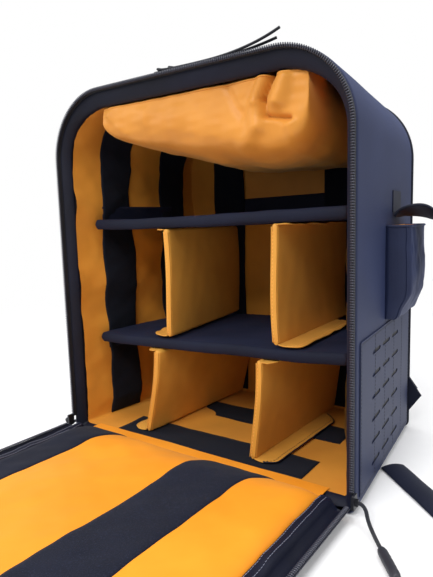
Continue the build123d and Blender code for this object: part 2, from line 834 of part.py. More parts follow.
def make_side():
    """Webbing panel with its slots, open pocket and the pocket's flap."""
    made = {}
    with BuildPart() as panel:
        with BuildSketch(side_plane().offset(ply_gap)):
            with Locations((molle_start + molle_length / 2, (molle_foot + molle_top) / 2)):
                RectangleRounded(molle_length, molle_top - molle_foot, 4)
            for column in range(slot_columns):
                for row in range(slot_rows):
                    y = slot_first_y + column * slot_pitch_y
                    with Locations((y, slot_first_z + row * slot_pitch_z)):
                        SlotOverall(slot_length, slot_height, mode=Mode.SUBTRACT)
        extrude(amount=molle_ply)
    made.update(both_sides("molle_panel", panel.part))
    chamfer_out, chamfer_up = pocket_chamfer
    slant = math.atan2(chamfer_up, chamfer_out)
    with BuildPart() as pocket:
        with BuildSketch(across_side(pocket_start)):
            with BuildLine():
                Polyline(
                    (ply_gap, pocket_foot),
                    (pocket_stand - chamfer_out, pocket_foot),
                    (pocket_stand, pocket_foot + chamfer_up),
                    (pocket_stand, pocket_top),
                    (ply_gap, pocket_top),
                    close=True,
                )
            make_face()
        extrude(amount=-pocket_length)
        with BuildSketch(across_side(pocket_start + pocket_ply)):
            low_shift = pocket_ply * math.tan(slant / 2)
            high_shift = pocket_ply * math.tan((math.pi / 2 - slant) / 2)
            with BuildLine():
                Polyline(
                    (ply_gap + pocket_ply, pocket_foot + pocket_ply),
                    (pocket_stand - chamfer_out - low_shift, pocket_foot + pocket_ply),
                    (pocket_stand - pocket_ply, pocket_foot + chamfer_up + high_shift),
                    (pocket_stand - pocket_ply, pocket_top + 1),
                    (ply_gap + pocket_ply, pocket_top + 1),
                    close=True,
                )
            make_face()
        extrude(amount=-(pocket_length - 2 * pocket_ply), mode=Mode.SUBTRACT)
    made.update(both_sides("side_pocket", pocket.part))
    with BuildPart() as flap:
        half = flap_ply / 2
        root = flap_hinge_out - half
        inner = (flap_reach - flap_ply, flap_hinge_z - half - flap_sag)
        outer = (flap_reach, flap_hinge_z + half - flap_sag)
        with BuildSketch(across_side(flap_start)) as profile:
            with BuildLine():
                Polyline(
                    (root, flap_hinge_z - half),
                    inner,
                    (inner[0], flap_end_z),
                    (outer[0], flap_end_z),
                    outer,
                    (root, flap_hinge_z + half),
                    close=True,
                )
            make_face()
            fillet(profile.vertices().sort_by_distance((*outer, 0))[0], flap_bend)
            fillet(profile.vertices().sort_by_distance((*inner, 0))[0], flap_bend - flap_ply)
        extrude(amount=-flap_width)
    made.update(both_sides("pocket_flap", flap.part))
    return made


# ---------------------------------------------------------------- back and harness
def make_harness():
    """Back pads, yoke, shoulder straps, locks, lower webs, grab handle and sewn tabs."""
    skin = back_y + ply_gap
    strap_y = skin + pad_ply + strap_gap
    with BuildPart() as back_pads:
        with BuildSketch(Plane.XZ.offset(-skin)):
            for x in (-pad_x, pad_x):
                with Locations((x, (pad_foot + pad_head) / 2)):
                    RectangleRounded(pad_width, pad_head - pad_foot, pad_corner)
            with Locations((0, (lumbar_foot + lumbar_head) / 2)):
                RectangleRounded(lumbar_width, lumbar_head - lumbar_foot, pad_corner)
        extrude(amount=-pad_ply)
        fillet(back_pads.faces().filter_by(Axis.Y).group_by(Axis.Y)[-1].edges(), 5)
    with BuildPart() as yoke:
        half = yoke_width / 2
        block((-half, skin, yoke_foot), (half, skin + pad_ply, yoke_head))
        fillet(yoke.edges().filter_by(Axis.Y), 6)
    half, foot_half = strap_width / 2, strap_foot_width / 2
    with BuildPart() as strap:
        with BuildSketch(Plane.XZ.offset(-strap_y)):
            with BuildLine():
                Polyline(
                    (strap_head[0] - half, strap_head[1]),
                    (strap_head[0] + half, strap_head[1]),
                    (strap_knee[0] + half, strap_knee[1]),
                    (strap_foot[0] + foot_half, strap_foot[1]),
                    (strap_foot[0] - foot_half, strap_foot[1]),
                    (strap_knee[0] - half, strap_knee[1]),
                    close=True,
                )
            make_face()
        extrude(amount=-strap_ply)
        fillet(strap.edges().filter_by(Axis.Y), 12)
    lock_y = strap_y + strap_ply / 2
    with BuildPart() as locks:
        for side in (-1, 1):
            x, z = side * strap_foot[0], strap_foot[1] - ply_gap - lock_height / 2
            with Locations((x, lock_y, z)):
                Box(lock_width, lock_ply, lock_height)
                for dz in (-lock_height / 5, lock_height / 5):
                    with Locations((0, 0, dz)):
                        Box(web_width + 1, lock_ply, lock_height / 5, mode=Mode.SUBTRACT)
    web_start = Vector(strap_foot[0] + 2, lock_y, strap_foot[1] - lock_height - 0.4 * web_width)
    web_end = Vector(web_anchor[0], back_y + web_ply + 2 * ply_gap, web_anchor[1])
    run = web_end - web_start
    with BuildPart() as web:
        middle = (web_start + web_end) * 0.5
        facing = Vector(0, 1, 0) - run * (run.Y / run.length**2)
        tilt = Plane(origin=middle, x_dir=run.normalized(), z_dir=facing)
        with Locations(tilt):
            Box(run.length, web_width, web_ply)
    with BuildPart() as webs:
        add(web.part)
        add(mirrored(web.part))
    return {
        "back_pads": back_pads.part,
        "strap_yoke": yoke.part,
        "shoulder_strap_right": strap.part,
        "shoulder_strap_left": mirrored(strap.part),
        "ladder_locks": locks.part,
        "strap_webs": webs.part,
    }


def make_handle():
    """The grab handle: a webbing loop that hangs from two sewn tabs."""
    y = back_y + handle_stand
    with BuildPart() as handle:
        with BuildSketch(Plane.XZ.offset(-(y - handle_ply / 2))):
            with Locations((0, handle_z + 1.5 - (handle_drop + 1.5) / 2)):
                Rectangle(handle_span, handle_drop + 1.5)
            with Locations((0, handle_z + 2 - (handle_drop + 2 - handle_width) / 2)):
                Rectangle(
                    handle_span - 2 * handle_width,
                    handle_drop + 2 - handle_width,
                    mode=Mode.SUBTRACT,
                )
        extrude(amount=-handle_ply)
        fillet(handle.edges().filter_by(Axis.Y).group_by(Axis.Z)[0], 12)
    return {"grab_handle": handle.part}


def make_tabs():
    """Sewn webbing tabs: flap roots, handle roots and the triangles that hold the lower webs."""
    with BuildPart() as right:
        with BuildSketch(side_plane().offset(ply_gap)):
            width, height = flap_patch
            foot = flap_hinge_z + flap_ply + 1
            with Locations((flap_start + flap_width / 2, foot + height / 2)):
                Rectangle(width, height)
        extrude(amount=tab_patch_ply)
        width, height = handle_patch
        x = (handle_span - handle_width) / 2
        z = handle_z + 3
        low = (x - width / 2, back_y + ply_gap, z)
        block(low, (x + width / 2, back_y + ply_gap + tab_patch_ply, z + height))
        y = back_y - 2 * anchor_ply
        edge = half_width(y) + ply_gap * 4
        with BuildSketch(Plane.XZ.offset(-y)):
            with BuildLine():
                low = web_anchor[1] - anchor_height / 2
                Polyline(
                    (edge, low),
                    (edge + anchor_reach, web_anchor[1]),
                    (edge, low + anchor_height),
                    close=True,
                )
            make_face()
        extrude(amount=-anchor_ply)
    with BuildPart() as sewn_tabs:
        add(right.part)
        add(mirrored(right.part))
    return {"sewn_tabs": sewn_tabs.part}


def make_base_straps():
    """Flat compression straps from under each side, lying on the ground, and their buckles."""
    made = {}
    buckles = []
    z0 = 3 * ply_gap
    start = Vector(base_strap_start[0], front_y + base_strap_start[1], z0)
    for name, side, run in (("right", 1, base_strap_run), ("left", -1, base_strap_run_left)):
        way = Vector(side * run[0], run[1], 0)
        root = Vector(side * start.X, start.Y, z0)
        half = base_strap_width / 2
        normal = Vector(0, 0, 1)
        plane = Plane(origin=root, x_dir=way.normalized(), z_dir=normal)
        lead = abs(half * run[1] / run[0]) if abs(run[0]) > abs(run[1]) else half
        with BuildPart() as strap:
            with BuildSketch(plane):
                with Locations(((way.length + lead) / 2, 0)):
                    Rectangle(way.length - lead, base_strap_width)
            extrude(amount=base_strap_ply)
        made["base_strap_" + name] = strap.part
        with BuildPart() as buckle:
            with BuildSketch(plane):
                with Locations((way.length + ply_gap + buckle_length / 2, 0)):
                    RectangleRounded(buckle_length, base_strap_width + 6, 5)
            extrude(amount=buckle_ply)
            fillet(buckle.faces().sort_by(Axis.Z)[-1].edges(), 2)
        buckles.append(buckle.part)
    with BuildPart() as base_buckles:
        for buckle in buckles:
            add(buckle)
    made["base_buckles"] = base_buckles.part
    return made


# ---------------------------------------------------------------- write every piece
pieces = {}
for make in (
    make_walls,
    make_rim,
    make_back,
    make_strips,
    make_inside,
    make_pouch,
    make_case_zip,
    make_door,
    make_top_zip,
    make_side,
    make_harness,
    make_handle,
    make_tabs,
    make_base_straps,
):
    pieces.update(make())
for side in (-1, 1):
    pieces.update(make_main_slider(side))

os.makedirs("parts", exist_ok=True)
for name, piece in pieces.items():
    piece.label = name
    export_step(piece, f"parts/{name}.step")
    box = piece.bounding_box()
    print(f"{name:24s} solids {len(piece.solids())}  {box.min} {box.max}")
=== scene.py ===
import bpy
import bmesh
import math
import numpy as np
from mathutils import Matrix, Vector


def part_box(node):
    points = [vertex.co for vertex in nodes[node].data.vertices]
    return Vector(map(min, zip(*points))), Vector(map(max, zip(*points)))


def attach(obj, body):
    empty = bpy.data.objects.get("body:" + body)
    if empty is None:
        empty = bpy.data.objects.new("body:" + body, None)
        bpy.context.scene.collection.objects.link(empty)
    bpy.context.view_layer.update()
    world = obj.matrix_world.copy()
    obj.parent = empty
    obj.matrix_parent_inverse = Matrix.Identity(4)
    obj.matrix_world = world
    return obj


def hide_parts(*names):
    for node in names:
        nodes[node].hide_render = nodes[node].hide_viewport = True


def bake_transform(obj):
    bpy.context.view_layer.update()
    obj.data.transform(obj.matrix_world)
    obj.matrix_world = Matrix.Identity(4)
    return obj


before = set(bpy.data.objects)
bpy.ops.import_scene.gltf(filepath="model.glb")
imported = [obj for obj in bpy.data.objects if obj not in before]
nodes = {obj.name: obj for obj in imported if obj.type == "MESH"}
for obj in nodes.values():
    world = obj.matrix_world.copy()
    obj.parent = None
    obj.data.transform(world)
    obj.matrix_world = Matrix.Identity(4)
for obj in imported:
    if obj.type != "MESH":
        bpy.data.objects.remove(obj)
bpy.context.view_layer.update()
scene = bpy.context.scene
mm = 0.001

# the case's own sizes, in millimetres, read back from the frame where it holds them
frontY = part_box("rim_frame")[0].y / mm
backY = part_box("back_skin")[1].y / mm
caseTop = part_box("gusset_skin")[1].z / mm
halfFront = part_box("gusset_skin")[1].x / mm
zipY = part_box("case_zip")[0].y / mm - 0.1
depth = backY - frontY
case = {"sideTaper": 22.0, "topDrop": 10.0, "topCorner": 88.0, "footCorner": 10.0,
        "rimWidth": 12.5, "backWall": 12.0, "floorTop": 12.0}


# smooth random swell: the mean of sixteen sine waves in random directions, about -1 to 1
def swell(points, size, seed):
    rng = np.random.default_rng(seed)
    waves = rng.normal(size=(3, 16)) * (2 * math.pi / size) * 0.6
    phase = rng.uniform(0, 2 * math.pi, 16)
    return np.sin(points @ waves + phase).sum(-1) / 4.0


# a crease: a bump of given height along the line a-b, falling off over width as a bell curve
def crease(points, a, b, width, height, taper=0.35):
    a, b = np.array(a, float), np.array(b, float)
    along = b - a
    t = ((points - a) @ along) / (along @ along)
    near = a + np.clip(t, 0, 1)[..., None] * along
    gap = np.linalg.norm(points - near, axis=-1)
    fade = np.clip(np.minimum(t + taper, 1 + taper - t) / taper, 0, 1)
    return height * np.exp(-(gap / width) ** 2) * fade


# a grid of points becomes a quad mesh, with a UV map laid out in millimetres along the grid's lengths
def gridPiece(name, grid, material, body="case", closeU=False, closeV=False, flip=False,
              thick=0.0, subdivide=0, replaces=(), slotName=None, weld=True):
    grid = np.asarray(grid, float)
    nu, nv = grid.shape[:2]
    iu = np.arange(nu if closeU else nu - 1)
    iv = np.arange(nv if closeV else nv - 1)
    gu, gv = [a.ravel() for a in np.meshgrid(iu, iv, indexing="ij")]
    corner = lambda a, b: ((gu + a) % nu) * nv + (gv + b) % nv
    order = [(0, 0), (1, 0), (1, 1), (0, 1)]
    if flip:
        order = order[::-1]
    faces = np.stack([corner(a, b) for a, b in order], 1)
    row = np.vstack([grid[:, nv // 2], grid[:1, nv // 2]])
    column = np.vstack([grid[nu // 2], grid[nu // 2, :1]])
    lengthU = np.concatenate([[0], np.cumsum(np.linalg.norm(np.diff(row, axis=0), axis=1))])
    lengthV = np.concatenate([[0], np.cumsum(np.linalg.norm(np.diff(column, axis=0), axis=1))])
    uv = np.stack([np.stack([lengthU[gu + a], lengthV[gv + b]], 1) for a, b in order], 1)
    mesh = bpy.data.meshes.new(name)
    mesh.from_pydata((grid.reshape(-1, 3) * mm).tolist(), [], faces.tolist())
    layer = mesh.uv_layers.new(name="cloth")
    layer.data.foreach_set("uv", (uv * mm).astype(np.float32).ravel())
    return finishPiece(name, mesh, material, body, thick, subdivide, replaces, weld)


# shared end of every piece: weld, smooth, material, modifiers, body
def finishPiece(name, mesh, material, body, thick=0.0, subdivide=0, replaces=(), weld=True):
    if weld:
        work = bmesh.new()
        work.from_mesh(mesh)
        bmesh.ops.remove_doubles(work, verts=work.verts, dist=1e-5)
        bmesh.ops.dissolve_degenerate(work, edges=work.edges, dist=1e-6)
        work.to_mesh(mesh)
        work.free()
    mesh.shade_smooth()
    piece = bpy.data.objects.new(name, mesh)
    scene.collection.objects.link(piece)
    mesh.materials.append(material)
    if thick:
        solid = piece.modifiers.new("ply", "SOLIDIFY")
        solid.thickness = thick * mm
        solid.offset = -1.0
    if subdivide:
        sub = piece.modifiers.new("smooth", "SUBSURF")
        sub.levels = subdivide
        sub.render_levels = subdivide
    if body:
        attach(piece, body)
    if replaces:
        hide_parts(*([replaces] if isinstance(replaces, str) else replaces))
    return piece


# spacing from 0 to 1 that is dense at both ends: half a cosine wave
def dense(count):
    return (1 - np.cos(np.linspace(0, math.pi, count))) / 2


# points at equal spacing along a polyline, with unit tangents
def evenly(path, step):
    path = np.asarray(path, float)
    run = np.concatenate([[0], np.cumsum(np.linalg.norm(np.diff(path, axis=0), axis=1))])
    count = max(int(round(run[-1] / step)), 2)
    at = (np.arange(count) + 0.5) * run[-1] / count
    points = np.stack([np.interp(at, run, path[:, k]) for k in range(path.shape[1])], 1)
    ahead = np.stack([np.interp(np.minimum(at + 0.5, run[-1]), run,
        path[:, k]) for k in range(path.shape[1])], 1)
    behind = np.stack([np.interp(np.maximum(at - 0.5, 0), run, path[:, k]) for k in range(path.shape[1])], 1)
    tangent = ahead - behind
    return points, tangent / np.linalg.norm(tangent, axis=1)[:, None]


# a smooth line through a few points: a Catmull-Rom curve, each span a cubic with tangents half the chord
def smoothLine(points, per=10):
    p = np.asarray(points, float)
    p = np.vstack([2 * p[0] - p[1], p, 2 * p[-1] - p[-2]])
    t = np.linspace(0, 1, per, endpoint=False)[:, None]
    spans = []
    for a, b, c, d in zip(p, p[1:], p[2:], p[3:]):
        spans.append(0.5 * (2 * b + (c - a) * t + (2 * a - 5 * b + 4 * c - d) * t ** 2 + (3 * b - a - 3
            * c + d) * t ** 3))
    return np.vstack(spans + [p[-2:-1]])


# one small shape repeated at many places: every copy is rotated into (along, across, up) and moved
def manyPieces(name, shape, faces, places, along, up, material, body="case", replaces=()):
    across = np.cross(up, along)
    across /= np.linalg.norm(across, axis=1)[:, None]
    up = np.cross(along, across)
    turned = (shape[None, :, 0:1] * along[:, None] + shape[None, :, 1:2] * across[:, None]
              + shape[None, :, 2:3] * up[:, None] + places[:, None])
    count = len(shape)
    allFaces = (np.asarray(faces)[None] + (np.arange(len(places)) * count)[:, None, None]).reshape(-1,
        len(faces[0]))
    mesh = bpy.data.meshes.new(name)
    mesh.from_pydata((turned.reshape(-1, 3) * mm).tolist(), [], allFaces.tolist())
    return finishPiece(name, mesh, material, body, replaces=replaces, weld=False)


# a short rounded bar, used for teeth and stitches: five rings of six points, ends drawn in
def barShape(length, width, height):
    angle = np.linspace(0, 2 * math.pi, 6, endpoint=False)
    at = np.array([-0.5, -0.36, 0.0, 0.36, 0.5]) * length
    size = np.array([0.25, 0.85, 1.0, 0.85, 0.25])
    ring = np.stack([np.cos(angle) * width / 2, np.sin(angle) * height / 2], 1)
    points = np.concatenate([np.column_stack([np.full(6, a), ring * s]) for a, s in zip(at, size)])
    faces = [[r * 6 + k, r * 6 + (k + 1) % 6, (r + 1) * 6 + (k + 1) % 6, (r + 1) * 6 + k]
             for r in range(4) for k in range(6)]
    faces += [[5, 4, 3, 2], [5, 2, 1, 0], [24, 25, 26, 27], [24, 27, 28, 29]]
    return points, faces


# a strip carried along a path: a rounded-rectangle section in the plane of (across, up), ends closed
def ribbon(name, path, across, width, thick, material, body="case", bow=0.0, fray=0.0, **rest):
    path = np.asarray(path, float)
    tangent = np.gradient(path, axis=0)
    tangent /= np.linalg.norm(tangent, axis=1)[:, None]
    across = np.broadcast_to(np.asarray(across, float), path.shape)
    across = across - (across * tangent).sum(1)[:, None] * tangent
    across /= np.linalg.norm(across, axis=1)[:, None]
    up = np.cross(tangent, across)
    width = np.broadcast_to(np.asarray(width, float), len(path))[:, None]
    s = np.sin(np.linspace(-math.pi / 2, math.pi / 2, 13))
    side = np.concatenate([s, s[::-1][1:-1]])[None, :]
    past = np.clip((np.abs(side) * width / 2 - (width / 2 - thick / 2)) / (thick / 2), 0, 1)
    sign = np.concatenate([np.ones(13), -np.ones(11)])[None, :]
    lift = sign * np.sqrt(1 - past ** 2) * thick / 2 + bow * (1 - side ** 2)
    grid = path[:, None] + across[:, None] * (side * width / 2)[..., None] + up[:, None] * lift[..., None]
    if fray:
        grid = grid + up[:, None] * fray * swell(grid, 40, 5)[..., None]
    cap = lambda row: np.broadcast_to(row.mean(0), row.shape)[None]
    grid = np.concatenate([cap(grid[0]), grid, cap(grid[-1])])
    return gridPiece(name, grid, material, body, closeV=True, **rest)


# a round cord or welt along a path: a circle carried square to the path
def welt(name, path, radius, material, body="case", closed=False, up=(0, 0, 1), **rest):
    path = np.asarray(path, float)
    tangent = np.gradient(path, axis=0)
    if closed:
        tangent = np.roll(path, -1, 0) - np.roll(path, 1, 0)
    tangent /= np.linalg.norm(tangent, axis=1)[:, None]
    side = np.cross(tangent, np.broadcast_to(np.asarray(up, float), path.shape))
    side /= np.linalg.norm(side, axis=1)[:, None]
    lift = np.cross(side, tangent)
    angle = np.linspace(0, 2 * math.pi, 8, endpoint=False)
    grid = path[:, None] + radius * (np.cos(angle)[None, :, None] * side[:, None]
        + np.sin(angle)[None, :, None] * lift[:, None])
    if not closed:
        grid = np.concatenate([path[:1, None] + 0 * grid[:1], grid, path[-1:, None] + 0 * grid[-1:]])
    return gridPiece(name, grid, material, body, closeU=closed, closeV=True, **rest)


# a stuffed board between four corners: two skins whose gap follows a quarter circle near the edges,
# with a crown in the middle and corners drawn in like a squircle
def paddedBoard(name, corners, thick, edge, material, body, counts=(40, 40), crown=0.0, round=0.06,
                wrinkle=0.0, wrinkleSize=60.0, seed=1, bend=None, **rest):
    c = np.asarray(corners, float)
    u, v = dense(counts[0])[:, None], dense(counts[1])[None, :]
    lengthU = np.linalg.norm(c[1] - c[0])
    lengthV = np.linalg.norm(c[3] - c[0])
    a, b = 2 * u - 1, 2 * v - 1
    pu = (1 + a * np.sqrt(1 - round * b ** 8 * np.abs(a) ** 6)) / 2
    pv = (1 + b * np.sqrt(1 - round * a ** 8 * np.abs(b) ** 6)) / 2
    pu, pv = pu[..., None], pv[..., None]
    flat = (c[0] * (1 - pu) + c[1] * pu) * (1 - pv) + (c[3] * (1 - pu) + c[2] * pu) * pv
    normal = np.cross(c[1] - c[0], c[3] - c[0])
    normal /= np.linalg.norm(normal)
    du = np.minimum(u, 1 - u) * lengthU + 0 * v
    dv = np.minimum(v, 1 - v) * lengthV + 0 * u
    rise = lambda d: np.sqrt(np.clip(1 - (1 - np.clip(d / edge, 0, 1)) ** 2, 0, 1))
    swelling = rise(du) * rise(dv)
    middle = (1 - a ** 2) * (1 - b ** 2)
    ruffle = wrinkle * swell(flat, wrinkleSize, seed) * swelling
    top = swelling * thick / 2 + crown * middle + ruffle
    low = -swelling * thick / 2 - crown * middle - wrinkle * swell(flat, wrinkleSize, seed + 7) * swelling
    skins = [flat + normal * h[..., None] for h in (top, low)]
    if bend is not None:
        skins = [s + bend(s) for s in skins]
    grid = np.concatenate([skins[0], skins[1][:, ::-1]], axis=1)
    return gridPiece(name, grid, material, body, closeV=True, **rest)


# the case's outline at each depth, drawn in by inset: foot line, corner, side, corner, top, corner, side,
# corner
def outline(y, inset, foot=None, footCorner=None):
    y, inset = np.broadcast_arrays(np.asarray(y, float), np.asarray(inset, float))
    back = (y - frontY) / depth
    half = halfFront - case["sideTaper"] * back - inset
    top = caseTop - case["topDrop"] * back - inset
    foot = inset if foot is None else np.broadcast_to(foot, y.shape)
    high = case["topCorner"] - inset
    low = np.maximum(case["footCorner"] - inset,
        3.0) if footCorner is None else np.broadcast_to(footCorner, y.shape)

    def line(x0, z0, x1, z1, count):
        t = np.linspace(0, 1, count, endpoint=False)[:, None]
        return np.stack([x0 * (1 - t) + x1 * t, z0 * (1 - t) + z1 * t], -1)

    def arc(cx, cz, r, start, count):
        angle = np.radians(start + np.linspace(0, 90, count, endpoint=False))[:, None]
        return np.stack([cx + r * np.cos(angle), cz + r * np.sin(angle)], -1)

    ring = np.concatenate([
        line(0 * half, foot, half - low, foot, 22), arc(half - low, foot + low, low, -90, 7),
        line(half, foot + low, half, top - high, 56), arc(half - high, top - high, high, 0, 22),
        line(half - high, top, high - half, top, 34), arc(high - half, top - high, high, 90, 22),
        line(-half, top - high, -half, foot + low, 56), arc(low - half, foot + low, low, 180, 7),
        line(low - half, foot, 0 * half, foot, 22)])
    around = np.roll(ring, -1, 0) - np.roll(ring, 1, 0)
    around /= np.linalg.norm(around, axis=-1)[..., None]
    depthRow = np.broadcast_to(y, ring.shape[:2])
    points = np.stack([ring[..., 0], depthRow, ring[..., 1]], -1)
    outward = np.stack([around[..., 1], 0 * depthRow, -around[..., 0]], -1)
    return points, outward


# the zipper's arch from the right foot over the top to the left foot, as x and height
def archLine(inset, foot, count=60):
    half, top, r = halfFront - inset, caseTop - inset, case["topCorner"] - inset
    angle = np.radians(np.linspace(0, 90, 24))
    rise = np.linspace(foot, top - r, count)[:, None]
    right = np.column_stack([np.full(count, half), rise])
    bend = np.column_stack([half - r + r * np.cos(angle), top - r + r * np.sin(angle)])[1:]
    left = np.column_stack([-bend[::-1, 0], bend[::-1, 1]])
    return np.vstack([right, bend, left, np.column_stack([-right[::-1, 0], right[::-1, 1]])])


# how thick the side and top wall is at a depth
def wallAt(y):
    return case["rimWidth"] + (case["backWall"] - case["rimWidth"]) * (y - frontY) / depth


# sRGB hex to linear: each channel through the standard curve
def hexColour(code, alpha=1.0):
    channels = [int(code[i:i + 2], 16) / 255 for i in (1, 3, 5)]
    return [c / 12.92 if c <= 0.04045 else ((c + 0.055) / 1.055) ** 2.4 for c in channels] + [alpha]


# adds one node: settings are its properties, ins are values or sockets to link
def addNode(tree, kind, ins=None, **settings):
    node = tree.nodes.new(kind)
    for key, value in settings.items():
        setattr(node, key, value)
    for key, value in (ins or {}).items():
        if isinstance(value, bpy.types.NodeSocket):
            tree.links.new(value, node.inputs[key])
        else:
            node.inputs[key].default_value = value
    return node


# a cloth: over-and-under threads at threadMm on the piece's own UV, a slow shade change between two dyes,
# fuzz as fine noise, and lint that catches light where the cloth is brushed
def clothFinish(name, dye, shade, threadMm, threadDepth, roughness, sheen, fuzz=0.0, fuzzMm=1.2, lint=None,
                shadeMm=70.0, ribs=False, sheenTint=None):
    material = bpy.data.materials.new(name)
    material.use_nodes = True
    tree = material.node_tree
    shader = tree.nodes["Principled BSDF"]
    shader.inputs["Roughness"].default_value = roughness
    shader.inputs["Sheen Weight"].default_value = sheen
    shader.inputs["Sheen Roughness"].default_value = 0.5
    if sheenTint:
        shader.inputs["Sheen Tint"].default_value = hexColour(sheenTint)
    shader.inputs["Specular IOR Level"].default_value = 0.3
    place = addNode(tree, "ShaderNodeTexCoord")
    turns = 2 * math.pi / (threadMm * mm) / 20.0  # a wave texture repeats every 2 pi over 20 of its scale
    warp = addNode(tree, "ShaderNodeTexWave", {"Vector": place.outputs["UV"], "Scale": turns,
        "Distortion": 0.6}, wave_type="BANDS", bands_direction="X")
    weft = addNode(tree, "ShaderNodeTexWave", {"Vector": place.outputs["UV"], "Scale": turns,
        "Distortion": 0.6}, wave_type="BANDS", bands_direction="Y")
    threads = addNode(tree, "ShaderNodeMath", {0: warp.outputs["Fac"], 1: weft.outputs["Fac"]},
                      operation="MULTIPLY" if not ribs else "MAXIMUM")
    slow = addNode(tree, "ShaderNodeTexNoise", {"Vector": place.outputs["Object"],
        "Scale": 1 / (shadeMm * mm), "Detail": 3.0})
    fine = addNode(tree, "ShaderNodeTexNoise", {"Vector": place.outputs["Object"],
        "Scale": 1 / (fuzzMm * mm), "Detail": 2.0, "Roughness": 0.7})
    tone = addNode(tree, "ShaderNodeMapRange", {"Value": slow.outputs["Fac"], "From Min": 0.35,
        "From Max": 0.65})
    dyed = addNode(tree, "ShaderNodeMix", {"Factor": tone.outputs["Result"], 6: hexColour(dye),
        7: hexColour(shade)}, data_type="RGBA")
    colour = dyed.outputs[2]
    if lint:
        speck = addNode(tree, "ShaderNodeMapRange", {"Value": fine.outputs["Fac"], "From Min": 0.52,
            "From Max": 0.75, "To Max": 0.6})
        colour = addNode(tree, "ShaderNodeMix", {"Factor": speck.outputs["Result"], 6: colour,
            7: hexColour(lint)}, data_type="RGBA").outputs[2]
    tree.links.new(colour, shader.inputs["Base Color"])
    weave = addNode(tree, "ShaderNodeBump", {"Height": threads.outputs[0], "Distance": threadDepth * mm,
        "Strength": 0.6})
    hairs = addNode(tree, "ShaderNodeBump", {"Height": fine.outputs["Fac"], "Distance": max(fuzz,
        0.02) * mm, "Strength": 0.8, "Normal": weave.outputs["Normal"]})
    tree.links.new(hairs.outputs["Normal"], shader.inputs["Normal"])
    return material


# a moulded or cast part: one colour with slow mottling, fine grain, and wear as roughness that changes with
# the slow noise
def mouldedFinish(name, colour, shade, roughness, metallic=0.0, grainMm=0.8, grainDepth=0.03):
    material = bpy.data.materials.new(name)
    material.use_nodes = True
    tree = material.node_tree
    shader = tree.nodes["Principled BSDF"]
    shader.inputs["Metallic"].default_value = metallic
    place = addNode(tree, "ShaderNodeTexCoord")
    grain = addNode(tree, "ShaderNodeTexNoise", {"Vector": place.outputs["Object"],
        "Scale": 1 / (grainMm * mm), "Detail": 3.0})
    slow = addNode(tree, "ShaderNodeTexNoise", {"Vector": place.outputs["Object"], "Scale": 1 / (14 * mm),
        "Detail": 2.0})
    mixed = addNode(tree, "ShaderNodeMix", {"Factor": slow.outputs["Fac"], 6: hexColour(colour),
        7: hexColour(shade)}, data_type="RGBA")
    rub = addNode(tree, "ShaderNodeMapRange", {"Value": slow.outputs["Fac"], "To Min": roughness - 0.08,
        "To Max": roughness + 0.08})
    bump = addNode(tree, "ShaderNodeBump", {"Height": grain.outputs["Fac"], "Distance": grainDepth * mm,
        "Strength": 0.6})
    tree.links.new(mixed.outputs[2], shader.inputs["Base Color"])
    tree.links.new(rub.outputs["Result"], shader.inputs["Roughness"])
    tree.links.new(bump.outputs["Normal"], shader.inputs["Normal"])
    return material


# brushed nylon tricot, piece dyed amber: soft, faintly shiny across folds
amberTricot = clothFinish("amber tricot lining", "#f59a22", "#ea8e18", 1.6, 0.05, 0.52, 0.25, fuzz=0.03,
    shadeMm=90, sheenTint="#ffd08a")
# thin tricot on the hanging pouch, dyed darker and duller than the door's lining: painted shade for the pouch
# inside the case
amberPouchShaded = clothFinish("amber pouch tricot in painted shade", "#d9923a", "#cc8632", 1.6, 0.05, 0.48, 0.2, fuzz=0.03,
    shadeMm=70, sheenTint="#ffd8a0")
# the same lining inside the case, dyed a little darker as painted shade
amberInsideShaded = clothFinish("amber tricot walls in painted shade", "#dc9434", "#cc8730", 1.6, 0.05, 0.55, 0.2, fuzz=0.03,
    shadeMm=80, sheenTint="#ffd08a")
# laminated tricot on the divider boards, smoother, dyed a duller, darker amber than the door's as painted
# shade inside the case
amberBoardShaded = clothFinish("amber tricot boards in painted shade", "#dc9f42", "#cf933a", 1.8, 0.04, 0.5, 0.2, fuzz=0.03,
    sheenTint="#ffd08a")
# unbroken nylon loop pile, near black: hairy, light sinks in, lint shows; this copy inside the case is dyed
# darker than the door's, as painted shade
loopPileShaded = clothFinish("brushed loop pile", "#030815", "#050b1b", 2.2, 0.05, 0.95, 0.02, fuzz=0.5,
    fuzzMm=1.1, lint="#0d152a")
# the same loop pile on the door, its dye and lint specks lighter than inside the case: painted light
loopPileLit = clothFinish("loop pile on the door in painted light", "#090d1d", "#0d1224", 2.2, 0.05, 0.95, 0.03,
    fuzz=0.7, fuzzMm=1.3, lint="#2b3048")
# polyurethane-coated high-tenacity nylon, yarn about 0.6 mm, drawn at 1.5 mm so it shows: matt with a
# dull shine
packCloth = clothFinish("coated nylon pack cloth", "#121a35", "#18213f", 1.5, 0.14, 0.6, 0.16, fuzz=0.05,
    sheenTint="#7f90d0")
# the same cloth rubbed flat where it is wrapped over piping and the rim
rimCloth = clothFinish("rim cloth", "#030617", "#060b21", 1.4, 0.08, 0.62, 0.06, fuzz=0.04,
    sheenTint="#5a6cb0")
# stretch knit over board foam on the shelves
shelfKnit = clothFinish("shelf knit", "#070d20", "#0b1229", 1.8, 0.08, 0.8, 0.15, fuzz=0.12, fuzzMm=1.2,
    sheenTint="#4d62a0")
# laser-cut laminate: smoother face, cut edges show darker
cutLaminate = clothFinish("laser-cut laminate", "#131931", "#18203a", 1.5, 0.08, 0.55, 0.14, fuzz=0.03,
    sheenTint="#7f90d0")
# woven nylon webbing: ribs across the strap about 1.5 mm apart
ribWebbing = clothFinish("ribbed webbing", "#0d1225", "#12172b", 1.7, 0.25, 0.6, 0.12, fuzz=0.05,
    ribs=True, sheenTint="#7c839e")
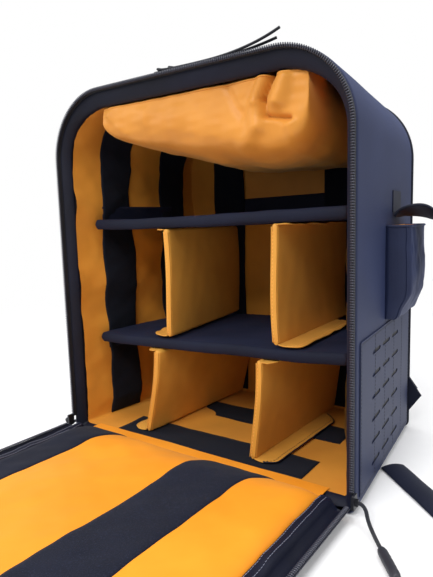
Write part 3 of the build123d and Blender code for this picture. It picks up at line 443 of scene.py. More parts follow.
# spacer mesh over foam: open holes about 3 mm apart
spacerMesh = clothFinish("spacer mesh", "#14161e", "#1b1e28", 3.2, 0.7, 0.85, 0.3, fuzz=0.1)
# zipper tape: fine twill, dark
zipTape = clothFinish("zipper tape", "#0c0d14", "#12141c", 1.2, 0.1, 0.7, 0.1, fuzz=0.04)
# extruded polyester coil: dark grey, catches small highlights
coilPlastic = mouldedFinish("polyester coil", "#2a2b36", "#383a48", 0.3)
# sewing thread, bonded polyester: pale grey on the binding, amber on the boards, dark on the shell
paleThread = mouldedFinish("pale sewing thread", "#6d7183", "#7c8093", 0.5)
amberThread = mouldedFinish("amber sewing thread", "#ffc06a", "#f7b050", 0.5)
darkThread = mouldedFinish("dark sewing thread", "#10121a", "#171a24", 0.5)
# zinc die casting, painted black and worn smooth
paintedZinc = mouldedFinish("painted zinc slider", "#15161b", "#24252c", 0.38, metallic=0.3)
# heat-shrunk tube and acetal buckles
shrinkTube = mouldedFinish("heat-shrunk grip", "#22232a", "#2c2d36", 0.5, grainMm=1.5, grainDepth=0.08)
acetal = mouldedFinish("moulded acetal", "#14151a", "#1b1c22", 0.4)
# nylon cord braided over a core
braidedCord = clothFinish("braided cord", "#12141c", "#1d202b", 1.3, 0.3, 0.7, 0.12, fuzz=0.05)
# closed-cell foam, hidden in the walls
closedFoam = mouldedFinish("closed-cell foam", "#26262a", "#303036", 0.9, grainMm=1.0, grainDepth=0.2)
millAlloy = mouldedFinish("mill-finish aluminium", "#b9bbc0", "#c8cacf", 0.4, metallic=1.0)
print("finishes made")

shell = {"swell": 0.4, "swellSize": 130.0, "puff": 0.5, "flatBelow": 186.0}


# outer skin: the outline carried from the zipper tape back to a rounded rear edge, slightly puffed along
# its middle
def makeShell():
    y = frontY + np.array([0.0, 0.6, 2.0, 4.5, 8, 14, 24, 40, 60, 85, 110, 135, 160, 185, 210, 232, 248,
        258, 264, 268, 270.5, 271.6, 272])
    back = (y - frontY) / depth
    inset = np.interp(y - frontY, [0, 0.6, 2, 4.5, 262, 264, 268, 270.5, 271.6, 272], [2.4, 1.0, 0.3, 0.0,
        0.0, 0.3, 1.6, 3.6, 5.0, 7.0])
    points, outward = outline(y, inset)
    puff = shell["puff"] * np.sin(np.pi * np.clip(back, 0, 1))[None] ** 2
    lumps = shell["swell"] * swell(points, shell["swellSize"], 11) * np.sin(np.pi * np.clip(back, 0.0,
        1))[None]
    # flat where the slotted panels are sewn on
    low = np.clip((points[..., 2] - shell["flatBelow"]) / 40, 0, 1)
    grid = points + outward * ((puff + lumps) * low)[..., None]
    gridPiece("outer_skin", grid, packCloth, closeU=True, flip=True, replaces=("gusset_skin",
        "base_panel"), slotName="shell_fabric")
    edge, _ = outline(np.array([backY - 3.0]), np.array([0.6]))
    welt("rear_piping", edge[:, 0], 2.3, rimCloth, closed=True, up=(0, 1, 0), slotName="shell_fabric")
    ring, _ = outline(np.array([backY - 0.2]), np.array([6.0]))
    ring = ring[:, 0]
    middle = np.array([0.0, backY - 0.2, 235.0])
    t = np.concatenate([np.linspace(0, 0.86, 14), [0.92, 0.96, 0.985, 1.0]])[None, :, None]
    grid = middle * (1 - t) + ring[:, None] * t
    grid[..., 1] += 1.2 * (1 - t[..., 0] ** 4) + 0.5 * swell(grid, 90, 4) * (1 - t[..., 0] ** 6)
    gridPiece("back_cloth", grid, packCloth, closeU=True, flip=True, replaces="back_skin",
        slotName="shell_fabric")


makeShell()
print("shell made")

rim = {"roll": [(12.4, 13.0), (12.9, 11.4), (12.4, 8.8), (10.8, 5.6), (8.6, 3.0), (6.4, 1.1), (4.4, 0.2),
    (3.0, 0.4), (2.3, 2.6)], "topDrop": 9.0, "stitchPitch": 4.6, "stitchInset": 5.0}


# padded rim: a rounded section, listed as inset and distance behind the front edge, carried round the
# opening
def makeRim():
    section = np.array(rim["roll"])
    fine = smoothLine(np.column_stack([section, np.zeros(len(section))]), 4)
    y = frontY + fine[:, 1]
    points, outward = outline(y, fine[:, 0], footCorner=np.maximum(case["footCorner"] - fine[:, 0], 3.0))
    points[..., 2] = np.maximum(points[..., 2], 0)
    dimple = 0.5 * swell(points, 26, 21) + 0.7 * swell(points, 90, 22)
    face = np.exp(-((fine[:, 0] - 8) / 4) ** 2)[None]
    points[..., 1] -= dimple * face * 0.6
    head = np.clip((points[..., 2] - 385) / 80, 0, 1)
    points[..., 2] -= rim["topDrop"] * head ** 2 * np.clip((fine[None, :, 0] - 3) / 9, 0, 1)
    gridPiece("opening_rim", points, rimCloth, closeU=True, flip=False, replaces="rim_frame",
        slotName="rim_fabric")
    arch = archLine(rim["stitchInset"], 40)
    places, along = evenly(np.column_stack([arch[:, 0], np.full(len(arch), frontY - 0.75), arch[:, 1]]),
        rim["stitchPitch"])
    shape, faces = barShape(3.0, 0.7, 0.5)
    up = np.broadcast_to([0, -1.0, 0], along.shape)
    manyPieces("rim_stitches", shape, faces, places, along, up, darkThread)


makeRim()
print("rim made")

walls = {"lump": 1.5, "lumpSize": 75.0, "fineLump": 0.4, "fineSize": 26.0}


# inward swell of the lining at a point: two sizes of lump, cut to a quarter low down near the floor and
# growing towards the left
def liningLump(points):
    z = points[..., 2]
    fall = np.clip((z - 11) / 25, 0.25, 1)
    left = 1 + 0.9 * np.clip(-points[..., 0] / 200, 0, 1)
    lump = walls["lump"] * (1.2 + swell(points, walls["lumpSize"],
        31)) + walls["fineLump"] * swell(points, walls["fineSize"], 32)
    return np.maximum(lump, 0.1) * fall * left


# lining: the inner outline carried from the rim to the back wall, pushed in and out by the lumps
def makeLining():
    y = np.concatenate([[frontY + 12.2], np.linspace(frontY + 15, backY - 14.5, 46), [backY - 13.0]])
    points, outward = outline(y, wallAt(y), foot=case["floorTop"], footCorner=5.0)
    grid = points - outward * (liningLump(points))[..., None]
    grid[..., 2] = np.maximum(grid[..., 2], 11.3)
    gridPiece("side_lining", grid, amberInsideShaded, closeU=True, flip=False, replaces="lining",
        slotName="lining_fabric")
    ring, _ = outline(np.array([backY - 13.3]), wallAt(np.array([backY - 13.3])), foot=case["floorTop"],
        footCorner=5.0)
    t = np.linspace(0.0, 1.0, 40)[None, :, None]
    back = np.array([0.0, backY - 13.4, 230.0]) * (1 - t) + ring * t
    back[..., 1] -= 0.5 * liningLump(back) * (1 - t[..., 0] ** 8)
    gridPiece("back_lining", back, amberInsideShaded, closeU=True, flip=False, replaces="lining_back",
        slotName="lining_fabric")
    corner, _ = outline(np.array([backY - 14.0]), np.array([wallAt(backY) + 0.6]), foot=12.5, footCorner=4.0)
    welt("back_seam", corner[:, 0], 1.0, amberInsideShaded, closed=True, up=(0, 1, 0), slotName="lining_fabric")


makeLining()
print("lining made")

strips = {"ply": 1.3, "waver": 1.8, "lift": 0.5}


# a loop strip on a side wall: the lining's own surface between two depths, lifted, its edges wavering
def makeWallStrips():
    for side, name in ((1, "right"), (-1, "left")):
        for k, start in enumerate((57.0, 177.0)):
            z = np.linspace(456, 15, 100)[:, None]
            v = np.linspace(-1, 1, 15)[None, :]
            waver = strips["waver"] * np.stack([np.sin(z[:, 0] / 41 + k + side),
                np.sin(z[:, 0] / 33 + 2 * k)], 1)
            y = frontY + start + 28 + v * 28 + np.where(v > 0, waver[:, 1:2] * v, -waver[:, 0:1] * v)
            back = (y - frontY) / depth
            half = halfFront - case["sideTaper"] * back - wallAt(y)
            r = case["topCorner"] - wallAt(y)
            top = caseTop - case["topDrop"] * back - wallAt(y)
            over = np.clip((z - (top - r)) / r, 0, 1)
            x = half - r + r * np.sqrt(1 - over ** 2)
            base = np.stack([side * x, y, z + 0 * y], -1)
            n = np.stack([-side * np.sqrt(1 - over ** 2), 0 * y, -over], -1)
            grid = base + n * (liningLump(base) + strips["lift"] + strips["ply"])[..., None]
            gridPiece(f"wall_loop_{name}_{k + 1}", grid, loopPileShaded, flip=side > 0, thick=strips["ply"] + 0.6,
                      slotName="loop_fabric", replaces="loop_strips")
    for side, name in ((1, "right"), (-1, "left")):
        z = np.linspace(17, 425, 70)[:, None]
        v = np.linspace(-1, 1, 13)[None, :]
        x = side * 99.5 + v * (28.5 + 1.1 * np.sin(z / 37 + side))
        grid = np.stack([x, np.full_like(x, backY - 13.9), z + 0 * x], -1)
        grid[..., 1] -= 0.5 * liningLump(grid) + strips["lift"] + strips["ply"]
        gridPiece(f"back_loop_{name}", grid, loopPileShaded, flip=False, thick=strips["ply"] + 0.6,
            slotName="loop_fabric")
    for k, start in enumerate((20.0, 132.0)):
        x = np.linspace(-145, 145, 60)[:, None]
        v = np.linspace(-1, 1, 13)[None, :]
        y = frontY + start + 26 + v * (26 + 0.8 * np.sin(x / 31))
        grid = np.stack([x + 0 * y, y, np.full_like(x + y, 13.2) + 0.35 * swell(np.stack([x + 0 * y, y,
            0 * (x + y)], -1), 50, 8)], -1)
        gridPiece(f"floor_loop_{k + 1}", grid, loopPileShaded, flip=False, thick=strips["ply"],
            slotName="loop_fabric")


makeWallStrips()
print("loop strips made")

zipper = {"pitch": 2.6, "toothLong": 1.9, "toothWide": 4.8, "toothHigh": 2.6}


# coil teeth: one rounded bar across the chain every pitch, carried along the arch; the tape is a thin
# band behind
def makeCaseZip():
    arch = archLine(2.5, 28)
    path = np.column_stack([arch[:, 0], np.full(len(arch), (zipY + 0.1 + frontY - 3.9) / 2), arch[:, 1]])
    places, along = evenly(path, zipper["pitch"])
    out = np.cross(along, np.broadcast_to([0, 1.0, 0], along.shape))
    shape, faces = barShape(zipper["toothWide"], zipper["toothLong"], zipper["toothHigh"])
    manyPieces("case_teeth", shape, faces, places, -out, np.broadcast_to([0, -1.0, 0], along.shape),
        coilPlastic, replaces="case_zip")
    arch = archLine(0.0, 26)
    tangent = np.gradient(arch, axis=0)
    tangent /= np.linalg.norm(tangent, axis=1)[:, None]
    outward = np.column_stack([tangent[:, 1], -tangent[:, 0]])
    section = np.array([(1.9, 2.0), (1.4, 0.0), (1.3, -1.5), (1.5, -3.4), (2.3, -5.6), (2.9, -5.6),
        (3.9, -3.2), (4.3, -1.0), (4.6, 1.5)])
    grid = np.stack([np.column_stack([arch[:, 0] - outward[:, 0] * i, np.full(len(arch), frontY + d),
        arch[:, 1] - outward[:, 1] * i]) for i, d in section], 1)
    gridPiece("case_tape", grid, zipTape, closeV=True, flip=False, slotName="zip_teeth")


makeCaseZip()
print("case zipper made")

shelves = {"upper": (315.0, 1.0), "lower": (153.0, 2.0), "ply": 14.0, "front": 35.0}


# half the shelf's width at a depth
def shelfHalf(y):
    return halfFront - case["sideTaper"] * (y - frontY) / depth - wallAt(y) - 5.2


# shelves: two-skin boards, sagging between their ends by a parabola, with hook tabs folded at their ends
def makeShelves():
    for name, up in (("upper", True), ("lower", False)):
        z, tilt = shelves[name]
        slope = math.tan(math.radians(tilt))
        y0, y1 = frontY + shelves["front"], backY - 17.2
        height = lambda x: z - shelves["ply"] / 2 + x * slope
        corners = [(-shelfHalf(y0), y0, height(-shelfHalf(y0))), (shelfHalf(y0), y0, height(shelfHalf(y0))),
                   (shelfHalf(y1), y1, height(shelfHalf(y1))), (-shelfHalf(y1), y1, height(-shelfHalf(y1)))]

        def sag(p):
            move = np.zeros_like(p)
            move[..., 2] = -1.6 * (1 - (p[..., 0] / 190) ** 2) + 0.5 * swell(p * [1, 0.3, 0], 120, 51 + up)
            return move

        paddedBoard(f"{name}_shelf_board", corners, shelves["ply"], 4.5, shelfKnit, f"shelf_{name}",
            counts=(90, 60), crown=0.4, round=0.05, wrinkle=0.25, wrinkleSize=45, seed=52 + up, bend=sag,
            replaces=f"{name}_shelf", slotName="rim_fabric")
        if up:
            x = np.linspace(-124, 124, 60)[:, None]
            v = np.linspace(0, 1, 10)[None, :]
            grid = np.stack([x + 0 * v, y1 + 1.2 - 0.6 * np.sin(v * 2) + 0 * x,
                height(x) - 4 + v * 38 + 0 * x], -1)
            grid[..., 1] += 0.3 * swell(grid, 30, 3)
            gridPiece("upper_shelf_back_tab", grid, shelfKnit, "shelf_upper", thick=1.4,
                slotName="rim_fabric")
        for side in (-1, 1):
            y = np.linspace(y0 + 22, y0 + 168, 40)[:, None]
            v = np.linspace(0, 1, 12)[None, :]
            edge = shelfHalf(y) + 1.4
            curl = 1.0 - np.clip(1 - v * 6, 0, 1) ** 2
            lift = (height(side * edge) - 5 + 32 * v) if up else (height(side * edge) + 5 - 26 * v)
            grid = np.stack([side * (edge - 2.5 + 2.5 * curl), y + 0 * v, lift + 0 * y], -1)
            grid[..., 0] += side * (-0.5 + 0.4 * swell(grid, 25, 61))
            gridPiece(f"{name}_shelf_tab_{'right' if side > 0 else 'left'}", grid, shelfKnit, f"shelf_{name}",
                      flip=(side > 0) == up, thick=1.3, slotName="rim_fabric")


makeShelves()
print("shelves made")

boards = {"upper_left": {"foot": (-56.0, -88.0), "lean": 0.0, "side": -1, "z": (152.6, 298.0), "bow": 2.0,
    "start": 35.0}, "upper_right": {"foot": (106.0, 103.0), "lean": 0.0, "side": 1, "z": (159.0, 301.8),
    "bow": -2.0, "start": 35.0}, "lower_left": {"foot": (-97.0, -84.0), "lean": 22.0, "side": -1,
    "z": (14.4, 134.5), "bow": 3.5, "start": 29.0}, "lower_right": {"foot": (74.0, 84.0), "lean": 12.0,
    "side": 1, "z": (14.4, 140.8), "bow": 2.5, "start": 29.0}}


# dividers: two-skin boards that bow a little, a stitched front edge, and cloth flanges turned out at foot
# and head
def makeBoards():
    shape, faces = barShape(2.6, 0.8, 0.5)
    for name, b in boards.items():
        y0, y1 = frontY + b["start"], backY - 17.5
        z0, z1 = b["z"]
        lean, bodyName, s = b["lean"], f"board_{name}", b["side"]
        tilt = 1.0 if name.startswith("upper") else 2.0
        corners = np.array([(b["foot"][0], y0, z0), (b["foot"][1], y1, z0), (b["foot"][1] + lean, y1, z1),
            (b["foot"][0] + lean, y0, z1)])

        def bow(p, b=b, z0=z0, z1=z1):
            move = np.zeros_like(p)
            h = np.clip((p[..., 2] - z0) / (z1 - z0), 0, 1)
            move[..., 0] = b["bow"] * np.sin(math.pi * h) - 1.5 * np.sin(2 * math.pi * h) * 0.4
            return move

        paddedBoard(f"{name}_board", corners, 8.6, 3.6, amberBoardShaded, bodyName, counts=(60, 60), crown=0.5,
            round=0.03, wrinkle=0.3, wrinkleSize=38, seed=70 + len(name) + s, bend=bow,
            replaces=f"divider_{name}", slotName="lining_fabric")
        h = np.linspace(0.03, 0.97, 80)
        frontX = b["foot"][0] + lean * h + b["bow"] * np.sin(math.pi * h) - 0.6 * np.sin(2 * math.pi * h)
        for k in (-1, 1):
            line = np.column_stack([frontX + k * 3.2, np.full(80, y0 + 1.0), z0 + (z1 - z0) * h])
            welt(f"{name}_edge_{'a' if k < 0 else 'b'}", line, 0.75, amberBoardShaded, bodyName, up=(0, 1, 0),
                slotName="lining_fabric")
        line = np.column_stack([frontX - 1.0, np.full(80, y0 - 0.15), z0 + (z1 - z0) * h])
        places, along = evenly(line, 4.4)
        manyPieces(f"{name}_stitches", shape, faces, places, along, np.broadcast_to([0, -1.0, 0],
            along.shape), amberThread, bodyName)
        # flanges: v runs from the board out to the hem; the hem's line draws back at both ends like a
        # tongue
        for part, width, top in (("foot", 27.0, False), ("head", 15.0, True)):
            u = dense(40)[:, None]
            v = np.linspace(0, 1, 12)[None, :]
            reach = width * (1 - np.clip((0.07 - u) / 0.07, 0, 1) ** 2 * 0.55) * (1 - np.clip((u - 0.86)
                / 0.14, 0, 1) ** 2 * 0.75)
            y = y0 + 0.5 + (y1 - y0) * 0.82 * u
            x = b["foot"][0] + (b["foot"][1] - b["foot"][0]) * 0.82 * u + (lean if top else 0) + s * (3.5
                + reach * v)
            z = (z1 - 1.2 if top else z0 + 1.3) + 0 * x
            flutter = 1.3 * swell(np.stack([x, y + 0 * v, 0 * x], -1), 34, 80 + len(name)) * v
            z = z + (np.minimum(flutter, 0.2) if top else np.abs(flutter) + 1.6 * (1 - v) ** 3)
            grid = np.stack([x, y + 0 * v, z], -1)
            gridPiece(f"{name}_{part}_flange", grid, amberBoardShaded, bodyName, thick=1.1, flip=(s > 0),
                slotName="lining_fabric")
            hem = grid[:, -1] + np.array([s * 0.4, 0, -0.4])
            welt(f"{name}_{part}_hem", hem, 0.9, amberBoardShaded if name != "lower_right" or top else rimCloth,
                bodyName, slotName="lining_fabric")
            if not top:
                places, along = evenly(grid[1:-1, 9] + np.array([0, 0, 0.35]), 4.4)
                manyPieces(f"{name}_hem_stitches", shape, faces, places, along, np.broadcast_to([0, 0,
                    1.0], along.shape), amberThread if name != "lower_right" else darkThread, bodyName)


makeBoards()
print("dividers made")

pouch = {"left": -134.0, "right": 160.0, "front": -121.5, "back": 106.0, "top": 455.0, "boxy": 9.0,
    "sag": 15.0}


# hanging pouch: a superellipse section in depth and height with crisp corners, whose foot follows a line
# falling along x and whose ends close as superellipses; creases then pinch the cloth near the right end
def makePouch():
    a = np.sin(np.linspace(-math.pi / 2, math.pi / 2, 130))[:, None]
    n = pouch["boxy"]
    bend = 0.5 ** (1 / n)
    t = np.linspace(0, bend, 44)
    s = np.linspace(bend, -bend, 60)[1:-1]
    fore = np.concatenate([(1 - t ** n) ** (1 / n), s, -(1 - t[::-1] ** n) ** (1 / n)])[None, :]
    deepness = np.concatenate([t, (1 - np.abs(s) ** n) ** (1 / n), t[::-1]])[None, :]
    mid, half = (pouch["left"] + pouch["right"]) / 2, (pouch["right"] - pouch["left"]) / 2
    x = mid + half * a
    foot = np.interp(x[:, 0], [-134, -123, -80, -29, 40, 111, 135, 150, 160], [419, 415, 406, 397, 386,
        376, 376, 381, 388])[:, None]
    shut = (1 - np.abs(a) ** 9) ** (1 / 9)
    drop = (pouch["top"] - foot) * shut
    deep = (pouch["back"] - pouch["front"]) / 2
    y = (pouch["front"] + pouch["back"]) / 2 - deep * fore
    under = pouch["sag"] * np.exp(-((x - 25) / 95) ** 2) * (1 - np.abs(fore) ** 2.2) * (deepness > bend * 0.9)
    z = pouch["top"] - drop * deepness - under
    grid = np.stack([x + 0 * fore, y + 0 * a, z], -1)
    p = grid[..., [0, 2]]
    front = np.clip((-80 - grid[..., 1]) / 36, 0, 1)
    lean = np.clip((pouch["top"] - grid[..., 2]) / 80, 0, 1)
    push = 3.0 * np.sin(np.clip(lean, 0, 1) * math.pi)
    push += crease(p, (124, 462), (108, 432), 3.4, -11) + crease(p, (108, 432), (110, 415), 3.6,
        -10) + crease(p, (112, 414), (140, 409), 3.0, -7)
    push += crease(p, (113, 466), (98, 432), 6.0, 6) + crease(p, (134, 452), (126, 426), 9.0,
        9) + crease(p, (98, 428), (100, 404), 8.0, 4)
    push += crease(p, (140, 402), (148, 384), 7.0, 5) + crease(p, (104, 404), (76, 384), 7.0, 3)
    push += crease(p, (-118, 450), (30, 425), 12.0, 3.0) + crease(p, (-60, 428), (90, 392), 14.0,
        2.6) + crease(p, (-100, 418), (20, 400), 9.0, -1.6)
    push += crease(p, (60, 452), (82, 418), 5.0, -3.4) + crease(p, (-122, 446), (-96, 420), 6.0,
        2.4) + 1.1 * swell(grid, 55, 91) + 0.5 * swell(grid, 22, 92)
    grid[..., 1] -= push * front
    grid[..., 2] += (1 - front) * (1.6 * swell(grid, 60, 93) + 0.6 * swell(grid, 24, 94)) * np.clip(lean,
        0, 1)
    grid[..., 1] = np.maximum(grid[..., 1], -134)
    top = caseTop - case["topDrop"] * (grid[..., 1] - frontY) / depth - wallAt(grid[..., 1]) - 1.2
    r = case["topCorner"] - wallAt(grid[..., 1])
    halfX = halfFront - case["sideTaper"] * (grid[..., 1] - frontY) / depth - wallAt(grid[..., 1])
    over = np.clip((np.abs(grid[..., 0]) - (halfX - r)) / r, 0, 1)
    grid[..., 2] = np.minimum(grid[..., 2], top - r + r * np.sqrt(1 - over ** 2))
    piece = gridPiece("hanging_pouch", grid, amberPouchShaded, thick=0.8, subdivide=0, replaces="top_pouch",
        slotName="lining_fabric")
    hem = grid[4:-4, 0] + np.array([0, -0.6, 0.0])
    welt("pouch_hem", hem, 1.2, amberPouchShaded, up=(0, 1, 0), slotName="lining_fabric")
    return piece


makePouch()
print("pouch made")

door = {"length": 460.0, "half": 216.0, "padInset": 35.0, "padLow": 12.6, "padRise": 15.0, "crown": 3.2,
    "pileLift": 1.3, "stripCentres": ((-151.0, 54.0), (70.0, 74.0))}


# the door's edge line from its right near end round the far corners to the left, as x and y
def doorArc(inset, near=8.0, count=64):
    half, far, r = door["half"] - inset, door["length"] - inset, case["topCorner"] - inset
    angle = np.radians(np.linspace(0, 90, 24))
    run = np.linspace(near, far - r, count)
    right = np.column_stack([np.full(count, half), run])
    bend = np.column_stack([half - r + r * np.cos(angle), far - r + r * np.sin(angle)])[1:]
    flat = np.column_stack([np.linspace(half - r, r - half, 30)[1:-1], np.full(28, far)])
    left = np.column_stack([-bend[::-1, 0], bend[::-1, 1]])
    path = np.vstack([right, bend, flat, left, np.column_stack([-right[::-1, 0], right[::-1, 1]])])
    path[:, 1] = zipY - path[:, 1]
    return path


# half the pad's width at a distance from its far edge: straight, then a quarter circle
def padHalf(d):
    r = case["topCorner"] - door["padInset"]
    return door["half"] - door["padInset"] - r + np.sqrt(np.clip(r ** 2 - np.clip(r - d, 0, r) ** 2, 0, None))


# height of the pad's cloth: a flat top whose edges fall as quarter circles, crowned in the middle,
# lightly rumpled
def padTop(x, y):
    along = zipY - y
    far = door["length"] - door["padInset"] - along
    side = padHalf(np.maximum(far, 0.0)) - np.abs(x)
    rise = lambda d, r: np.sqrt(np.clip(1 - (1 - np.clip(d / r, 0, 1)) ** 2, 0, 1))
    shape = rise(along + 1.0, 46) * rise(side, 24) * rise(far, 30)
    crown = (1 - (x / 185) ** 2) * np.sin(math.pi * np.clip(along / 425, 0, 1)) ** 0.7
    flat = np.stack([x, y, 0 * x], -1)
    waves = 1.3 * swell(flat, 150, 101) + 0.35 * swell(flat, 40, 102)
    ridge = 1.8 * np.exp(-((along - 50) / 26) ** 2) * (1 + 0.5 * np.sin(x / 33))
    return door["padLow"] + door["padRise"] * shape + (door["crown"] * crown + waves + ridge) * shape


def makeDoor():
    far = door["length"] - door["padInset"]
    along = np.concatenate([np.linspace(0.0, 60, 34)[:-1], np.linspace(60, far - 60, 60)[:-1],
        far - 60 * (1 - np.sin(np.linspace(0, math.pi / 2, 34)))])
    s = np.sin(np.linspace(-math.pi / 2, math.pi / 2, 121))[None, :]
    width = padHalf(np.maximum(far - along, 0.0))[:, None]
    x, y = width * s, (zipY - along)[:, None] + 0 * s
    grid = np.stack([x, y, padTop(x, y)], -1)
    gridPiece("door_pad_cloth", grid, amberTricot, "door", flip=True, thick=1.0, replaces=("door_pad",
        "door_foam"), slotName="lining_fabric")
    # loop strips lie on the pad's own surface, edges slightly wavering
    for k, (centre, wide) in enumerate(door["stripCentres"]):
        run = np.linspace(1.5, far - 10, 150)[:, None]
        v = np.linspace(-1, 1, 25)[None, :]
        flare = (1 - np.clip(run / 55, 0, 1)) ** 2
        x = centre + 14 * flare + 5 * (k == 0) + v * (wide / 2 + 7 * flare) + 2.2 * np.sin(run / 75 + k
            * 2) + 1.0 * v * np.sin(run / 37)
        y = zipY - run + 0 * v
        limit = padHalf(np.maximum(far - run, 0.0)) - 6
        x = np.clip(x, -limit, limit)
        lift = door["pileLift"] * (1 - v ** 12) * np.clip((far - run) / 12, 0, 1)
        grid = np.stack([x, y, padTop(x, y) + lift], -1)
        gridPiece(f"door_loop_{k + 1}", grid, loopPileLit, "door", flip=True, thick=1.2,
            replaces="door_strips", slotName="loop_fabric")
        for e in (0, -1):
            welt(f"door_loop_edge_{k + 1}{'a' if e else 'b'}", grid[2:-2, e] + np.array([0, 0, 0.1]), 0.7,
                loopPileLit, "door", slotName="loop_fabric")
    # edge: binding and gusset in one section, as inset and height
    section = np.array([(36, 12.0), (35.4, 16), (34.2, 19.6), (31.8, 21.6), (28.5, 22.3), (25, 22.1),
        (21.8, 20.9), (20.0, 18.2), (18.6, 15.0), (15.0, 11.4), (10.5, 10.6), (6.5, 12.4), (3.6, 15.6),
        (1.6, 16.6), (0.6, 15.8), (1.8, 12.8), (6.0, 8.6), (11.5, 4.6), (16.5, 1.9), (22, 0.8),
        (30, 0.8), (36, 4.0)])
    loop = smoothLine(np.column_stack([np.vstack([section, section[:1]]), np.zeros(len(section) + 1)]),
        3)[:-1]
    rails = np.stack([doorArc(i, near=6.0) for i in loop[:, 0]], 1)
    grid = np.concatenate([rails, np.broadcast_to(loop[:, 1], rails.shape[:2])[..., None]], -1)
    rumple = (0.9 * swell(grid, 60, 111) + 0.45 * swell(grid, 22, 112)) * np.clip((loop[:, 1] - 4) / 8, 0, 1)
    grid[..., 2] += rumple * np.where(loop[:, 0] < 3, 0.15, 1.0)
    cap = lambda row: np.broadcast_to(row.mean(0), row.shape)[None]
    grid = np.concatenate([cap(grid[0]), grid, cap(grid[-1])])
    gridPiece("door_edge", grid, rimCloth, "door", closeV=True, replaces=("door_border", "door_gusset"),
        slotName="rim_fabric")
    stitch, faces = barShape(3.1, 0.75, 0.55)
    for k, (inset, z) in enumerate(((31.4, 22.1), (25.2, 22.5))):
        arc = doorArc(inset, near=8.0)
        places, way = evenly(np.column_stack([arc, np.full(len(arc), z)]), 3.6)
        places[:, 2] += 0.9 * swell(places, 60, 111) + 0.45 * swell(places, 22, 112)
        manyPieces(f"binding_stitches_{k + 1}", stitch, faces, places, way, np.broadcast_to([0, 0, 1.0],
            way.shape), paleThread, "door")
    # coil teeth on the door's own edge
    arc = doorArc(2.5, near=10.0)
    places, way = evenly(np.column_stack([arc, np.full(len(arc), 18.5)]), zipper["pitch"])
    side = np.cross(np.broadcast_to([0, 0, 1.0], way.shape), way)
    shape, faces = barShape(zipper["toothWide"], zipper["toothLong"], zipper["toothHigh"])
    manyPieces("door_teeth", shape, faces, places, side, np.broadcast_to([0, 0, 1.0], way.shape),
        coilPlastic, "door", replaces="door_zip")
    # outer face: pack cloth laid flat, a shallow welt round its edge
    t = np.concatenate([np.linspace(0.0, 0.9, 30), [0.94, 0.97, 0.99, 1.0]])[None, :, None]
    rails = doorArc(17.0, near=7.0)
    ring = np.vstack([rails, np.column_stack([np.linspace(-199, 199, 40)[1:-1], np.full(38, zipY - 7.0)])])
    ring = np.column_stack([ring, np.full(len(ring), 2.0)])
    middle = np.array([0, zipY - 230.0, 1.6])
    grid = middle * (1 - t) + ring[:, None] * t
    grid[..., 2] = 0.5 + 1.4 * np.clip((t[..., 0] - 0.97) / 0.03, 0, 1) + 0.2 * swell(grid, 80,
        3) * (1 - t[..., 0])
    gridPiece("door_face", grid, packCloth, "door", closeU=True, flip=True, replaces="door_panel",
        slotName="shell_fabric")


makeDoor()
print("door made")

fold = {"half": 180.0}


# cloth over the hinge: the floor lining and the shell run on into the door, fixed in place
# and attached to neither body
def makeFold():
    v = np.linspace(0, 1, 26)[None, :]
    x = np.linspace(-fold["half"], fold["half"], 80)[:, None]
    y = frontY + 18 - v * 33
    z = 13.5 + 0.5 * np.sin(v * math.pi) + 0.4 * v ** 2 + 0 * x
    grid = np.stack([x + 0 * v, y + 0 * x, z], -1)
    grid[..., 2] += 0.35 * swell(grid, 40, 121) * np.sin(v * math.pi)
    piece = gridPiece("inner_fold", grid, amberTricot, None, flip=True, slotName="lining_fabric")
    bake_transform(piece)
    x = np.linspace(-190, 190, 60)[:, None]
    y = frontY + 1.5 - v * 17
    z = 7.0 * (1 - v) ** 2 + 1.2 + 0 * x
    grid = np.stack([x + 0 * v, y + 0 * x, z], -1)
    piece = gridPiece("outer_fold", grid, packCloth, None, flip=False, thick=0.0, replaces="hinge_tape",
        slotName="shell_fabric")
    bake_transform(piece)


makeFold()
print("hinge cloth made")

alongY = np.array([-case["sideTaper"], depth]) / math.hypot(case["sideTaper"], depth)
outX = np.array([alongY[1], -alongY[0]])


# a point beside the case: distance back along the side, height, and distance out from the skin; sign 1 is
# right
def sidePoint(along, up, out, sign=1):
    along, up, out = np.broadcast_arrays(np.asarray(along, float), np.asarray(up, float), np.asarray(out,
        float))
    x = sign * (halfFront + alongY[0] * along + outX[0] * out)
    return np.stack([x, frontY + alongY[1] * along + outX[1] * out, up], -1)


pocket = {"start": 118.0, "length": 104.0, "foot": 186.0, "edge": 8.0, "strapAt": 169.0, "strapWide": 41.0}


